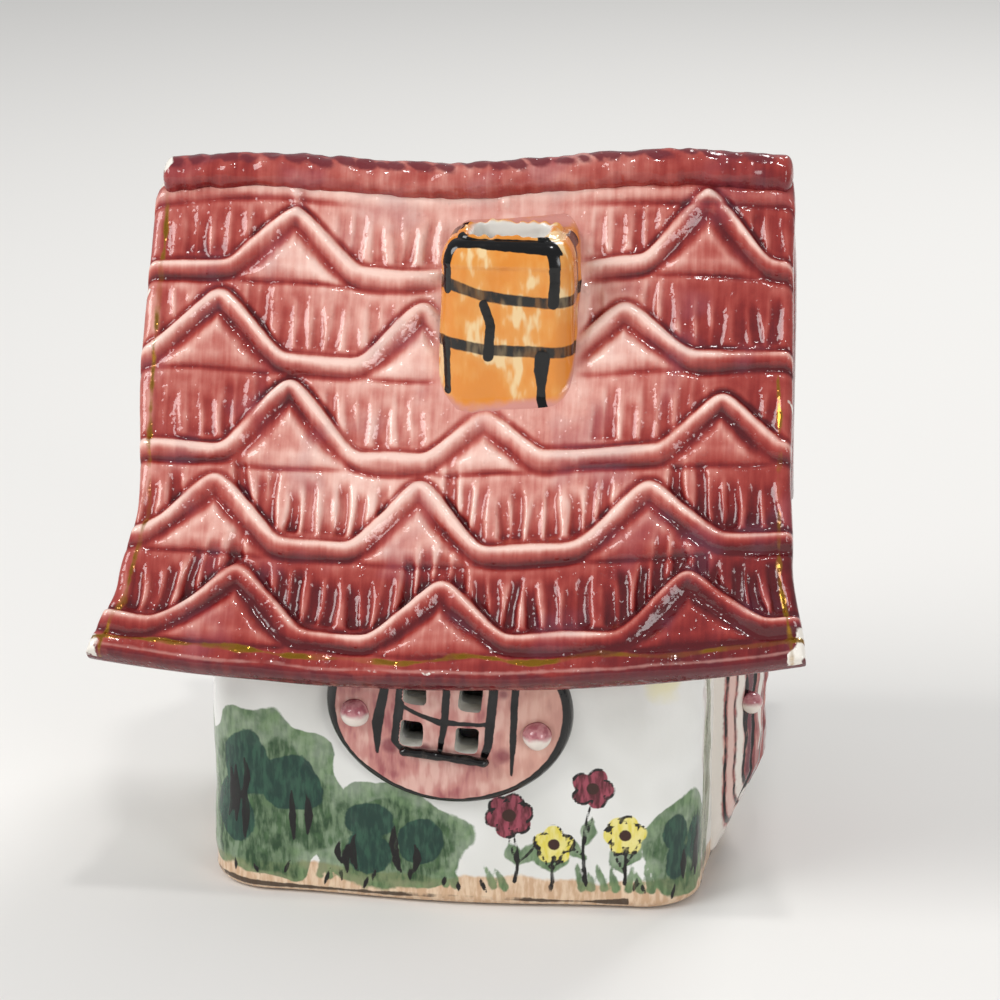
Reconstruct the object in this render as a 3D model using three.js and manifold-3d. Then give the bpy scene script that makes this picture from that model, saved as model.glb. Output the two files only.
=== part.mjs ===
// Tea light holder in the shape of a cottage, hand-built in glazed earthenware.
// Millimetres, +Z up. The ridge runs along X, the front wall faces -Y and the foot stands on z = 0.

import * as THREE from 'three';
import { mergeVertices } from 'three/addons/utils/BufferGeometryUtils.js';
import Module from 'manifold-3d';

const wasm = await Module();
wasm.setup();

// Gap left between two pieces that touch on the real object
const seatGap = 0.3;

// House: four bowed walls with rounded corners on a floor slab
const wallHalfLength = 52;
const leftWallStretch = 1.03;
const wallHalfDepth = 43.5;
const wallBow = 2.2;
const cornerRadius = 13;
const wallThickness = 5;
const footRadius = 2.4;
const floorThickness = 5;

// Roof slab: two slopes that flare at the eave, leaning a little to the left
const ridgeHeight = 152.4;
const ridgeWaveHeight = 1.3;
const ridgeWaveLength = 90;
const ridgeWaveShift = 50;
const ridgeRollRadius = 4.4;
const ridgeRollCover = 3.2;
const eaveHeight = 61;
const eaveOverhang = 12.3;
const eaveFlare = 3.5;
const eaveLift = 4;
const eaveSag = 2.4;
const eaveCornerLift = 4.8;
const roofLean = 0.034;
const roofHalfLength = 67;
const roofThickness = 6;

// Verges as knots of [share of the slope from ridge to eave, distance from the roof's middle]. The
// left one narrows to a waist above its flare, and the back slope stops short at its right end
const leftVerge = [[0, 67.8], [0.06, 69.6], [0.4, 69.6], [0.7, 67.3], [0.86, 69.8], [1.04, 74.3]];
const rightVerge = [[0, 66.4], [0.08, 67.1], [0.6, 68.6], [0.8, 69.9], [1.04, 73.6]];
const backRightVerge = [[0, 66.4], [0.3, 67.2], [1.04, 66.4]];
const undersideShares = [1, 0.93, 0.86, 0.78, 0.7, 0.58, 0.4, 0.2];

// Rows of roping on the slopes; each runs level and climbs over peaks, given as their place along
// the roof, their rise and their half width
const firstRowDistance = 22;
const rowPitch = 19.8;
const frontPeaks = [
  [[-36.9, 11.6, 11.5], [6.4, 11.5, 11], [49.2, 12.6, 11]],
  [[-51.5, 10.6, 12], [-9.5, 12.4, 10.5], [32.4, 9.6, 12]],
  [[-35.6, 14.4, 12], [4.5, 8.8, 10], [52.8, 10.8, 10.5]],
  [[-50.8, 12.8, 12.5], [-8, 14, 11.5], [38.7, 12, 12.5]],
  [[-43.2, 13.6, 12.5], [-1.9, 12.6, 11.5], [46.5, 12.8, 12]],
];
const backPeaks = [
  [[-50.5, 12.2, 11.5], [-8.2, 11.4, 12], [34.6, 12, 11]],
  [[-29.8, 11.6, 12], [13.6, 12.8, 11], [56.4, 10.8, 11]],
  [[-52.4, 12.4, 11], [-9.6, 12.8, 12], [33.9, 11.2, 12]],
  [[-31.2, 13, 12], [11.7, 12.2, 11.5], [55.2, 11.6, 11]],
  [[-54, 12, 12], [-10.4, 13.4, 12.5], [33, 12.6, 12]],
];
const peakRounding = 0.09;
const rowHeight = 1.4;
const rowHalfWidth = 2.3;
const rowFlatShare = 0.5;
const upperCrease = 0.5;
const lowerCrease = 0.8;
const creaseWidth = 0.9;

// Grooves of the thatch, pressed side by side above each row
const groovePitch = 3.6;
const grooveHalfWidth = 1.15;
const grooveLength = 10;
const grooveDepths = [0.6, 0.6, 0.6, 1.2, 1.3];
const grooveMargin = 4;
const grooveLeastLength = 4;
const grooveCount = 36;

// Each groove's place, length, depth and lean differ a little, as hand work does: how much, and how
// fast that runs from groove to groove and from row to row
const grooveShift = 0.55;
const grooveShiftRate = 2.7;
const grooveLengthChange = 1.6;
const grooveLengthRate = 3.1;
const grooveDepthChange = 0.25;
const grooveDepthRate = 4.3;
const grooveLean = 0.08;
const grooveLeanRate = 1.7;
const grooveRowRate = 1.9;

// Ribs under the roof that locate it inside the gables
const ribThickness = 4;
const ribDrop = 9;
const ribShares = [0.65, 0.58, 0.4, 0.3];
const ribClearance = 1.5;

// Chimney, open down to the room as the smoke's way out
const chimneyX = 8.6;
const chimneyY = -15;
const chimneyHalfLength = 14.3;
const chimneyHalfDepth = 10.3;
const chimneyCornerRadius = 4.5;
const chimneyTopDrop = 12;
const chimneyTaper = 0.4;
const chimneyShoulder = 3;
const chimneyShoulderHeight = 6.5;
const flueHalfLength = 7.9;
const flueHalfDepth = 6.4;
const flueCornerRadius = 3;

// Front window: an oval pad with four panes cut through pad and wall
const windowX = -0.6;
const windowZ = 45;
const windowTilt = -5;
const windowHalfLength = 26;
const windowHalfHeight = 20.5;
const windowRelief = 3.6;
const windowDome = 0.9;
const paneShiftX = -1.1;
const paneShiftZ = -0.4;
const panePitchX = 11.7;
const panePitchZ = 9.4;
const paneWidth = 4.8;
const paneHeight = 5.6;
const sillShiftX = 0.4;
const sillLength = 19;
const sillHeight = 2;
const sillReach = 2;
const sillDrop = 0.1;
const shutterKnobRadius = 3;
const shutterKnobReach = 19.2;
const shutterKnobDrop = 2.4;

// Door on the right gable: a bulging board door whose foot tapers in to the wall
const doorHalfWidth = 17;
const doorFootHeight = 3;
const doorTaperHeight = 20;
const doorSpringHeight = 46;
const doorRelief = 9.4;
const doorFootRelief = 1.2;
const doorSwellShape = 0.35;
const doorArchSteps = 4;
const doorArchShare = 0.91;
const doorAcrossSteps = 12;
const doorKnobRadius = 2.4;
const doorKnobY = -13;
const doorKnobZ = 36.5;
const doorKnobStand = 0.6;

// Tea light
const cupRadius = 19;
const cupHeight = 16;
const cupWall = 0.6;
const cupFootBevel = 0.8;
const cupInnerBevel = 0.6;
const cupRimRadius = 0.45;
const waxDepth = 12.4;
const waxPoolDepth = 0.8;
const waxMeniscusWidth = 2.5;
const sustainerRadius = 5;
const sustainerThickness = 0.4;
const sustainerNeckRadius = 1.5;
const sustainerNeckHeight = 4;
const wickRadius = 0.7;
const wickHeight = 21;

// Steps of the curved forms
const sideSteps = 8;
const cornerSteps = 5;
const roofStations = 26;
const rollSteps = 12;
const ovalSteps = 36;
const turnSteps = 32;

// Turns a list of closed rings into a closed mesh, capped at both ends.
// Each ring runs anticlockwise as seen from the end that the rings travel to.
function loft(rings, flatten) {
  const count = rings[0].length;
  const positions = rings.flat().flatMap((point) => [point.x, point.y, point.z]);
  const indices = [];
  for (let ring = 0; ring < rings.length - 1; ring += 1) {
    for (let i = 0; i < count; i += 1) {
      const a = ring * count + i;
      const b = ring * count + ((i + 1) % count);
      indices.push(a, b, b + count, a, b + count, a + count);
    }
  }
  const addCap = (ring, forward) => {
    const flat = rings[ring].map(flatten);
    for (const [a, b, c] of THREE.ShapeUtils.triangulateShape(flat, [])) {
      const corners = forward ? [a, b, c] : [a, c, b];
      indices.push(...corners.map((corner) => ring * count + corner));
    }
  };
  addCap(0, false);
  addCap(rings.length - 1, true);
  const geometry = new THREE.BufferGeometry();
  geometry.setAttribute('position', new THREE.Float32BufferAttribute(positions, 3));
  geometry.setIndex(indices);
  return geometry;
}

const loftUp = (rings) => loft(rings, (point) => new THREE.Vector2(point.x, point.y));
const loftAlongX = (rings) => loft(rings, (point) => new THREE.Vector2(point.y, point.z));
const loftToFront = (rings) => loft(rings, (point) => new THREE.Vector2(point.x, point.z));
const loftToBack = (rings) => loft(rings, (point) => new THREE.Vector2(-point.x, point.z));

// Makes a solid of a geometry, for joining and cutting
function solid(geometry) {
  const bare = geometry.clone();
  bare.deleteAttribute('normal');
  bare.deleteAttribute('uv');
  const merged = mergeVertices(bare, 1e-5);
  return new wasm.Manifold(new wasm.Mesh({
    numProp: 3,
    vertProperties: new Float32Array(merged.attributes.position.array),
    triVerts: new Uint32Array(merged.index.array),
  }));
}

// Gives a solid back as a geometry
function geometryOf(body) {
  const mesh = body.getMesh();
  const geometry = new THREE.BufferGeometry();
  geometry.setAttribute('position', new THREE.BufferAttribute(mesh.vertProperties, 3));
  geometry.setIndex(new THREE.BufferAttribute(mesh.triVerts, 1));
  geometry.computeVertexNormals();
  return geometry;
}

// Outward swell of a wall at a place along it
function bow(along, halfStraight) {
  const share = Math.min(Math.abs(along) / halfStraight, 1);
  return wallBow * Math.cos(share * Math.PI / 2) ** 2;
}

const frontFaceY = (x) => -(wallHalfDepth + bow(x, wallHalfLength - cornerRadius));
const gableFaceX = (y) => wallHalfLength + bow(y, wallHalfDepth - cornerRadius);

// Plan of the house, drawn in by inset, anticlockwise from the front wall's left end
function housePlan(inset) {
  const radius = Math.max(cornerRadius - inset, 1);
  const points = [];
  for (let side = 0; side < 4; side += 1) {
    const angle = (side - 1) * Math.PI / 2;
    const out = new THREE.Vector2(Math.cos(angle), Math.sin(angle));
    const run = new THREE.Vector2(-out.y, out.x);
    const isLong = side % 2 === 0;
    const reach = (isLong ? wallHalfDepth : wallHalfLength) - inset;
    const half = (isLong ? wallHalfLength : wallHalfDepth) - inset - radius;
    const fullHalf = (isLong ? wallHalfLength : wallHalfDepth) - cornerRadius;
    for (let i = 0; i <= sideSteps; i += 1) {
      const along = half * (2 * i / sideSteps - 1);
      const distance = reach + bow(along, fullHalf);
      points.push(out.clone().multiplyScalar(distance).addScaledVector(run, along));
    }
    const centre = out.clone().multiplyScalar(reach - radius).addScaledVector(run, half);
    for (let i = 1; i < cornerSteps; i += 1) {
      const turn = angle + (i / cornerSteps) * Math.PI / 2;
      const spoke = new THREE.Vector2(Math.cos(turn), Math.sin(turn));
      points.push(centre.clone().addScaledVector(spoke, radius));
    }
  }
  for (const point of points) if (point.x < 0) point.x *= leftWallStretch;
  return points;
}

const planAt = (inset, z) => housePlan(inset).map((point) => new THREE.Vector3(point.x, point.y, z));

// The house as a full block with its rounded foot, grown outward by grow
function houseBlock(grow) {
  const rings = [];
  for (let i = 0; i <= 3; i += 1) {
    const angle = (i / 3) * Math.PI / 2;
    const inset = footRadius * (1 - Math.sin(angle)) - grow;
    rings.push(planAt(inset, footRadius * (1 - Math.cos(angle))));
  }
  rings.push(planAt(-grow, ridgeHeight));
  return solid(loftUp(rings));
}

function roomBlock(inset, bottom, top) {
  return solid(loftUp([planAt(inset, bottom), planAt(inset, top)]));
}

// Height of the hand-made roof over its even form, at the ridge and at the eave
function ridgeWave(x) {
  return roofLean * x + ridgeWaveHeight * Math.cos(2 * Math.PI * (x + ridgeWaveShift) / ridgeWaveLength);
}

function eaveWave(x) {
  return roofLean * x - eaveSag + eaveCornerLift * (x / roofHalfLength) ** 2;
}

const apexHeight = ridgeHeight - ridgeRollCover;
const eaveReach = wallHalfDepth + wallBow + eaveOverhang;

// Value at t of a line through knots of [t, value] that eases into and out of every knot
function easedLine(knots, t) {
  const end = knots.findIndex(([place]) => place > t);
  const [[from, first], [to, last]] = [knots[end - 1], knots[end]];
  const share = (t - from) / (to - from);
  return first + (last - first) * share * share * (3 - 2 * share);
}

// Place of the verges along the roof, where u is -1 at the left and 1 at the right
function vergeAt(u, t, side) {
  const right = side < 0 ? rightVerge : backRightVerge;
  return u * easedLine(u < 0 ? leftVerge : right, t);
}

// A point of the roof's even outer face: t runs from the ridge to the eave, u from verge to verge,
// side is -1 on the front slope and 1 on the back slope, and lift raises it square to the slope
function roofPoint(u, t, side, lift) {
  const x = vergeAt(u, t, side);
  const reach = (eaveReach - eaveFlare) * t + eaveFlare * t ** 5;
  const fall = (apexHeight - eaveHeight + eaveLift) * t - eaveLift * t ** 5;
  const wave = ridgeWave(x) * (1 - t) + eaveWave(x) * t;
  const reachRate = eaveReach - eaveFlare + 5 * eaveFlare * t ** 4;
  const fallRate = apexHeight - eaveHeight + eaveLift - 5 * eaveLift * t ** 4;
  const rate = Math.hypot(reachRate, fallRate);
  const y = reach + lift * fallRate / rate;
  const z = apexHeight - fall + wave + lift * reachRate / rate;
  return new THREE.Vector3(x, side * y, z);
}

const slopeLength = roofPoint(0, 0, 1, 0).distanceTo(roofPoint(0, 1, 1, 0));

// Distance of a row's crest down the slope: level between peaks, and up over each of them
function rowDistance(row, x, side) {
  const peaks = (side < 0 ? frontPeaks : backPeaks)[row];
  return peaks.reduce((distance, [place, rise, halfWidth]) => {
    const inside = (1 - Math.abs(x - place) / halfWidth) / peakRounding;
    return distance - rise * peakRounding * Math.log(1 + Math.exp(inside));
  }, firstRowDistance + row * rowPitch);
}

// True at the chimney's foot and close round it, where the face is left even
function besideChimney(point) {
  const besideX = Math.abs(point.x - chimneyX) - chimneyHalfLength;
  const besideY = Math.abs(point.y - chimneyY) - chimneyHalfDepth;
  return Math.max(besideX, besideY) < rowHalfWidth;
}

// One row across its width, as distances from its crest and heights over the face
const rowProfile = [
  [-rowHalfWidth - creaseWidth, 0],
  [-rowHalfWidth, -upperCrease],
  [-rowHalfWidth * rowFlatShare, rowHeight],
  [rowHalfWidth * rowFlatShare, rowHeight],
  [rowHalfWidth, -lowerCrease],
  [rowHalfWidth + creaseWidth, 0],
];

// One slope from just below the ridge to the eave, with the rows standing up from it
function slopeLine(u, side, raise) {
  return frontPeaks.flatMap((_, row) => {
    const crest = rowDistance(row, u * roofHalfLength, side);
    return rowProfile.map(([away, height]) => {
      const t = (crest + away) / slopeLength;
      const plain = besideChimney(roofPoint(u, t, side, 0));
      return roofPoint(u, t, side, raise + (plain ? 0 : height));
    });
  });
}

// A place on the slope by its distances along the roof and down from the ridge
function slopePlace(x, distance, side, lift) {
  return roofPoint(x / roofHalfLength, distance / slopeLength, side, lift);
}

// A small solid let into one slope between an upper and a lower ring of [x, distance, lift]
function slopeWedge(side, upper, lower) {
  const rings = [upper, lower].map((ring) => {
    const points = ring.map(([x, distance, lift]) => slopePlace(x, distance, side, lift));
    return side < 0 ? points : points.reverse();
  });
  return solid(side < 0 ? loftToFront(rings) : loftToBack(rings));
}

// The thatch grooves of both slopes: wedges that are widest and deepest at the row they hang over
function grooveWedges() {
  const wedges = [];
  for (const side of [-1, 1]) {
    grooveDepths.forEach((rowDepth, row) => {
      for (let k = 0; k < grooveCount; k += 1) {
        const uneven = (rate) => Math.sin(rate * k + grooveRowRate * row + side);
        const shift = grooveShift * uneven(grooveShiftRate);
        const x = grooveMargin - roofHalfLength + k * groovePitch + shift;
        const foot = rowDistance(row, x, side) - rowHalfWidth - creaseWidth;
        const lowest = row === 0 ? firstRowDistance / 2 : rowDistance(row - 1, x, side) + rowPitch / 4;
        const length = grooveLength + grooveLengthChange * uneven(grooveLengthRate);
        const top = Math.max(foot - length, lowest);
        const depth = rowDepth * (1 + grooveDepthChange * uneven(grooveDepthRate));
        const lean = grooveLean * (foot - top) * uneven(grooveLeanRate);
        const covered = [foot, top].some((end) => besideChimney(slopePlace(x, end, side, 0)));
        if (foot - top < grooveLeastLength || covered) continue;
        wedges.push(slopeWedge(side, [
          [x + grooveHalfWidth, top, depth / 2],
          [x - grooveHalfWidth, top, depth / 2],
          [x, top, -depth / 2],
        ], [
          [x + lean + grooveHalfWidth, foot, depth / 2],
          [x + lean - grooveHalfWidth, foot, depth / 2],
          [x + lean, foot, -depth],
        ]));
      }
    });
  }
  return wasm.Manifold.union(wedges);
}

// Rounded edge of the slab at the eave
function eaveEdge(u, side, raise, thickness) {
  const middle = roofPoint(u, 1, side, (raise - thickness) / 2);
  const up = roofPoint(u, 1, side, 1).sub(roofPoint(u, 1, side, 0));
  const down = new THREE.Vector3(0, side * up.z, -side * up.y);
  const radius = (raise + thickness) / 2;
  return [1, 0, -1].map((step) => {
    const angle = step * Math.PI / 4;
    const point = middle.clone().addScaledVector(up, radius * Math.sin(angle));
    return point.addScaledVector(down, radius * Math.cos(angle));
  });
}

// Underside of one slope, from the eave up towards the ridge
function undersideLine(u, side, drop) {
  return undersideShares.map((t) => roofPoint(u, t, side, -drop));
}

// Inner apex, where the two undersides meet
function undersideApex(u, drop) {
  const low = roofPoint(u, 0.2, 1, -drop);
  const high = roofPoint(u, 0.1, 1, -drop);
  const share = low.y / (low.y - high.y);
  return new THREE.Vector3(vergeAt(u, 0, 1), 0, low.z + share * (high.z - low.z));
}

const stations = Array.from({ length: roofStations + 1 }, (_, i) => (2 * i) / roofStations - 1);

// The roof's outer face from the back eave over the ridge to the front eave
function outerLine(u, raise) {
  const apex = roofPoint(u, 0, 1, 0);
  const half = (side) => [...slopeLine(u, side, raise), ...eaveEdge(u, side, raise, roofThickness)];
  return [
    ...half(1).reverse(),
    apex.setZ(apex.z + 2 * raise),
    ...half(-1),
  ];
}

// The roof slab itself
function roofBlock() {
  const rings = stations.map((u) => [
    ...outerLine(u, 0),
    ...undersideLine(u, -1, roofThickness),
    undersideApex(u, roofThickness),
    ...undersideLine(u, 1, roofThickness).reverse(),
  ]);
  return solid(loftAlongX(rings));
}

// Everything from the raised outer face of the roof down to the ground
function belowRoofFace(raise) {
  const rings = stations.map((u) => {
    const line = outerLine(u, raise);
    const back = line[0];
    const front = line[line.length - 1];
    return [...line, front.clone().setZ(0), back.clone().setZ(0)];
  });
  return solid(loftAlongX(rings));
}

// Everything under the roof's underside, lowered by drop
function underRoofBlock(drop) {
  const below = roofThickness + drop;
  const rings = stations.map((u) => {
    const front = undersideLine(u, -1, below);
    const back = undersideLine(u, 1, below);
    return [
      new THREE.Vector3(front[0].x, front[0].y, -floorThickness),
      new THREE.Vector3(back[0].x, back[0].y, -floorThickness),
      ...back,
      undersideApex(u, below),
      ...front.reverse(),
    ];
  });
  return solid(loftAlongX(rings));
}

// Rounded rectangle lying level, anticlockwise
function roundedRectangle(halfX, halfY, radius, z) {
  const points = [];
  for (let corner = 0; corner < 4; corner += 1) {
    const signX = corner === 0 || corner === 3 ? 1 : -1;
    const signY = corner < 2 ? 1 : -1;
    for (let i = 0; i <= cornerSteps; i += 1) {
      const angle = (corner + i / cornerSteps) * Math.PI / 2;
      const x = chimneyX + signX * (halfX - radius) + radius * Math.cos(angle);
      const y = chimneyY + signY * (halfY - radius) + radius * Math.sin(angle);
      points.push(new THREE.Vector3(x, y, z));
    }
  }
  return points;
}

const chimneyTopHeight = ridgeHeight - chimneyTopDrop;

function flueBlock() {
  return solid(loftUp([eaveHeight, ridgeHeight].map((z) => (
    roundedRectangle(flueHalfLength, flueHalfDepth, flueCornerRadius, z)
  ))));
}

function chimneyBlock() {
  const straightTop = chimneyTopHeight - chimneyShoulderHeight;
  const rings = [[eaveHeight, 0], [straightTop, chimneyTaper]];
  for (let i = 1; i <= 3; i += 1) {
    const angle = (i / 3) * Math.PI / 2;
    const z = straightTop + (chimneyTopHeight - straightTop) * Math.sin(angle);
    rings.push([z, chimneyTaper + chimneyShoulder * (1 - Math.cos(angle))]);
  }
  return solid(loftUp(rings.map(([z, inset]) => roundedRectangle(
    chimneyHalfLength - inset,
    chimneyHalfDepth - inset,
    chimneyCornerRadius - inset / 2,
    z,
  ))));
}

// A place on the window, across and up from its middle, which hangs a little askew
function windowPlace(across, up) {
  const tilt = THREE.MathUtils.degToRad(windowTilt);
  const place = new THREE.Vector2(across, up).rotateAround(new THREE.Vector2(), tilt);
  return { x: windowX + place.x, z: windowZ + place.y };
}

// Oval pad on the front wall, grown on all its faces by grow; its back lies inside the wall
function windowPadBlock(grow) {
  const steps = [[1, -2], [1, 0.45], [0.965, 0.78], [0.9, 1]];
  const rings = steps.map(([share, rise]) => [share, windowRelief * rise]);
  rings.push([0.55, windowRelief + 0.8 * windowDome], [0.2, windowRelief + windowDome]);
  return solid(loftToFront(rings.map(([share, rise]) => {
    const points = [];
    for (let i = 0; i < ovalSteps; i += 1) {
      const angle = (i / ovalSteps) * 2 * Math.PI;
      const across = (windowHalfLength * share + grow) * Math.cos(angle);
      const up = (windowHalfHeight * share + grow) * Math.sin(angle);
      const { x, z } = windowPlace(across, up);
      points.push(new THREE.Vector3(x, frontFaceY(x) - rise - grow, z));
    }
    return points;
  })));
}

const padFaceY = (x) => frontFaceY(x) - windowRelief - windowDome;

// Puts a shape that was made about the origin on the window, turned with it
function placeOnWindow(geometry, across, up, y) {
  const { x, z } = windowPlace(across, up);
  geometry.rotateY(-THREE.MathUtils.degToRad(windowTilt));
  return geometry.translate(x, y, z);
}

// The four panes as one cutter that passes through pad and wall
function paneBlock() {
  const depth = 4 * (wallThickness + windowRelief);
  const panes = [-1, 1].flatMap((column) => [-1, 1].map((line) => {
    const pane = new THREE.BoxGeometry(paneWidth, depth, paneHeight);
    const across = paneShiftX + column * panePitchX / 2;
    const up = paneShiftZ + line * panePitchZ / 2;
    return solid(placeOnWindow(pane, across, up, frontFaceY(windowX)));
  }));
  return panes.reduce((joined, pane) => joined.add(pane));
}

// Swell of the door across its width, from 0 at its edges to 1 in its middle
const doorSwell = (share) => (1 - share ** 2) ** doorSwellShape;

// Board door on the right gable, its back inside the wall
function doorBlock(grow) {
  const topHeight = doorSpringHeight + doorHalfWidth;
  const levels = [doorFootHeight, (doorFootHeight + doorTaperHeight) / 2, doorTaperHeight];
  levels.push((doorTaperHeight + doorSpringHeight) / 2, doorSpringHeight);
  for (let i = 1; i <= doorArchSteps; i += 1) {
    const rise = Math.sin((i / doorArchSteps) * doorArchShare * Math.PI / 2);
    levels.push(doorSpringHeight + doorHalfWidth * rise);
  }
  const rings = levels.map((z) => {
    const arch = Math.max(0, z - doorSpringHeight) / (topHeight - doorSpringHeight);
    const half = doorHalfWidth * Math.sqrt(1 - arch ** 2) + grow;
    const taper = Math.min(1, (z - doorFootHeight) / (doorTaperHeight - doorFootHeight));
    const full = doorFootRelief + (doorRelief - doorFootRelief) * taper;
    const relief = full * Math.sqrt(1 - arch ** 2) + grow;
    const points = [];
    for (let i = 0; i <= doorAcrossSteps; i += 1) {
      const share = Math.sin((i / doorAcrossSteps - 0.5) * Math.PI);
      const y = half * share;
      points.push(new THREE.Vector3(gableFaceX(y) + relief * doorSwell(share), y, z));
    }
    points.push(new THREE.Vector3(wallHalfLength - wallThickness / 2, half, z));
    points.push(new THREE.Vector3(wallHalfLength - wallThickness / 2, -half, z));
    return points;
  });
  return solid(loftUp(rings));
}

function knobBlock(radius, x, y, z) {
  const ball = new THREE.SphereGeometry(radius, 16, 10);
  ball.translate(x, y, z);
  return solid(ball);
}

// A ring or disc turned about the tea light's axis
function turned(profile) {
  const points = profile.map(([radius, z]) => new THREE.Vector2(radius, z));
  const geometry = new THREE.LatheGeometry(points, turnSteps);
  geometry.rotateX(Math.PI / 2);
  return geometry;
}

// Outline of a rib at one place along the roof: a band that hangs down from the underside
function ribRing(x) {
  const line = (drop) => {
    const uAt = (t, side) => x / Math.abs(vergeAt(Math.sign(x), t, side));
    const half = (side) => ribShares.map((t) => roofPoint(uAt(t, side), t, side, -drop));
    return [...half(1), undersideApex(uAt(0, 1), drop), ...half(-1).reverse()];
  };
  return [...line(roofThickness + seatGap), ...line(roofThickness + ribDrop).reverse()];
}

const wallsUnderRoof = underRoofBlock(seatGap);
const house = new THREE.Group();
const roof = new THREE.Group();
const teaLight = new THREE.Group();
const group = new THREE.Group();
group.add(house, roof, teaLight);

function addPiece(parent, name, geometry, color, roughness, metalness = 0) {
  const material = new THREE.MeshStandardMaterial({ color, roughness, metalness });
  const mesh = new THREE.Mesh(geometry, material);
  mesh.name = name;
  parent.add(mesh);
  return mesh;
}

const whiteGlaze = '#ece9df';
const mauveGlaze = '#a4596a';
const pinkGlaze = '#b9788a';
const orangeGlaze = '#d9924a';
const blackGlaze = '#1b1a1c';
const aluminium = '#c4c6c8';

// House pieces
const floor = solid(loftUp([
  planAt(wallThickness + seatGap, 0),
  planAt(wallThickness + seatGap, floorThickness),
]));
addPiece(house, 'floor_slab', geometryOf(floor), whiteGlaze, 0.25);

const walls = houseBlock(0)
  .subtract(roomBlock(wallThickness, -1, ridgeHeight + 1))
  .intersect(wallsUnderRoof)
  .subtract(paneBlock());
addPiece(house, 'house_walls', geometryOf(walls), whiteGlaze, 0.2);

const pad = windowPadBlock(0)
  .subtract(houseBlock(seatGap))
  .intersect(underRoofBlock(2 * seatGap))
  .subtract(paneBlock());
addPiece(house, 'window_pad', geometryOf(pad), pinkGlaze, 0.2);

const sillUp = paneShiftZ - (panePitchZ + paneHeight + sillHeight) / 2 - sillDrop;
const sillBar = new THREE.CapsuleGeometry(sillHeight / 2, sillLength - sillHeight, 4, 12);
sillBar.rotateZ(Math.PI / 2);
placeOnWindow(sillBar, sillShiftX, sillUp, padFaceY(windowX) - sillReach / 2);
const sill = solid(sillBar).subtract(windowPadBlock(seatGap));
addPiece(house, 'window_sill', geometryOf(sill), blackGlaze, 0.15);

for (const [name, side] of [['shutter_knob_left', -1], ['shutter_knob_right', 1]]) {
  const { x, z } = windowPlace(side * shutterKnobReach, -shutterKnobDrop);
  const knob = knobBlock(shutterKnobRadius, x, padFaceY(x), z).subtract(windowPadBlock(seatGap));
  addPiece(house, name, geometryOf(knob), pinkGlaze, 0.15);
}

const door = doorBlock(0).subtract(houseBlock(seatGap));
addPiece(house, 'gable_door', geometryOf(door), mauveGlaze, 0.2);

const doorKnobSwell = doorRelief * doorSwell(doorKnobY / doorHalfWidth);
const doorKnobX = gableFaceX(doorKnobY) + doorKnobSwell + doorKnobStand;
const doorKnob = knobBlock(doorKnobRadius, doorKnobX, doorKnobY, doorKnobZ);
addPiece(house, 'door_knob', geometryOf(doorKnob.subtract(doorBlock(seatGap))), pinkGlaze, 0.15);

// Roof pieces
const roofSlab = roofBlock().subtract(grooveWedges()).subtract(flueBlock());
addPiece(roof, 'roof_shell', geometryOf(roofSlab), mauveGlaze, 0.2);

const rollRings = stations.filter((_, i) => i % 2 === 0).map((u) => {
  const x = vergeAt(u, 0, 1);
  const centreZ = ridgeHeight + ridgeWave(x) - ridgeRollRadius;
  return Array.from({ length: rollSteps }, (_, i) => {
    const angle = (i / rollSteps) * 2 * Math.PI;
    const y = ridgeRollRadius * Math.cos(angle);
    return new THREE.Vector3(x, y, centreZ + ridgeRollRadius * Math.sin(angle));
  });
});
const ridgeRoll = solid(loftAlongX(rollRings)).subtract(belowRoofFace(seatGap));
addPiece(roof, 'ridge_roll', geometryOf(ridgeRoll), mauveGlaze, 0.2);

const chimney = chimneyBlock()
  .subtract(flueBlock())
  .subtract(belowRoofFace(seatGap));
addPiece(roof, 'chimney_stack', geometryOf(chimney), orangeGlaze, 0.25);

const ribX = wallHalfLength - wallThickness - ribClearance - ribThickness / 2;
for (const [name, side] of [['roof_rib_left', -1], ['roof_rib_right', 1]]) {
  const faces = [-1, 1].map((face) => ribRing(side * ribX + face * ribThickness / 2));
  addPiece(roof, name, geometryOf(solid(loftAlongX(faces))), mauveGlaze, 0.3);
}

// Tea light pieces, standing on the floor slab in the middle of the room
teaLight.position.z = floorThickness + seatGap;
const cup = turned([
  [0, 0],
  [cupRadius - cupFootBevel, 0],
  [cupRadius, cupFootBevel],
  [cupRadius, cupHeight - 2 * cupRimRadius],
  [cupRadius + cupRimRadius, cupHeight - cupRimRadius],
  [cupRadius - cupWall / 2, cupHeight],
  [cupRadius - cupWall, cupHeight - cupRimRadius],
  [cupRadius - cupWall, cupWall + cupInnerBevel],
  [cupRadius - cupWall - cupInnerBevel, cupWall],
  [0, cupWall],
]);
addPiece(teaLight, 'tealight_cup', geometryOf(solid(cup)), aluminium, 0.3, 1);

const sustainerProfile = (grow) => [
  [0, -grow],
  [sustainerRadius + grow, -grow],
  [sustainerRadius + grow, sustainerThickness + grow],
  [sustainerNeckRadius + grow, sustainerThickness + grow],
  [sustainerNeckRadius + grow, sustainerNeckHeight + grow],
  [0, sustainerNeckHeight + grow],
];
const wickShape = (grow) => {
  const rod = new THREE.CylinderGeometry(wickRadius + grow, wickRadius + grow, wickHeight, 10);
  rod.rotateX(Math.PI / 2);
  rod.translate(0, 0, cupWall + seatGap + sustainerThickness + wickHeight / 2);
  return solid(rod);
};
const sustainerShape = (grow) => {
  const disc = turned(sustainerProfile(grow));
  disc.translate(0, 0, cupWall + seatGap);
  return solid(disc);
};
const sustainer = sustainerShape(0).subtract(wickShape(seatGap));
addPiece(teaLight, 'wick_sustainer', geometryOf(sustainer), aluminium, 0.4, 1);
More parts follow.
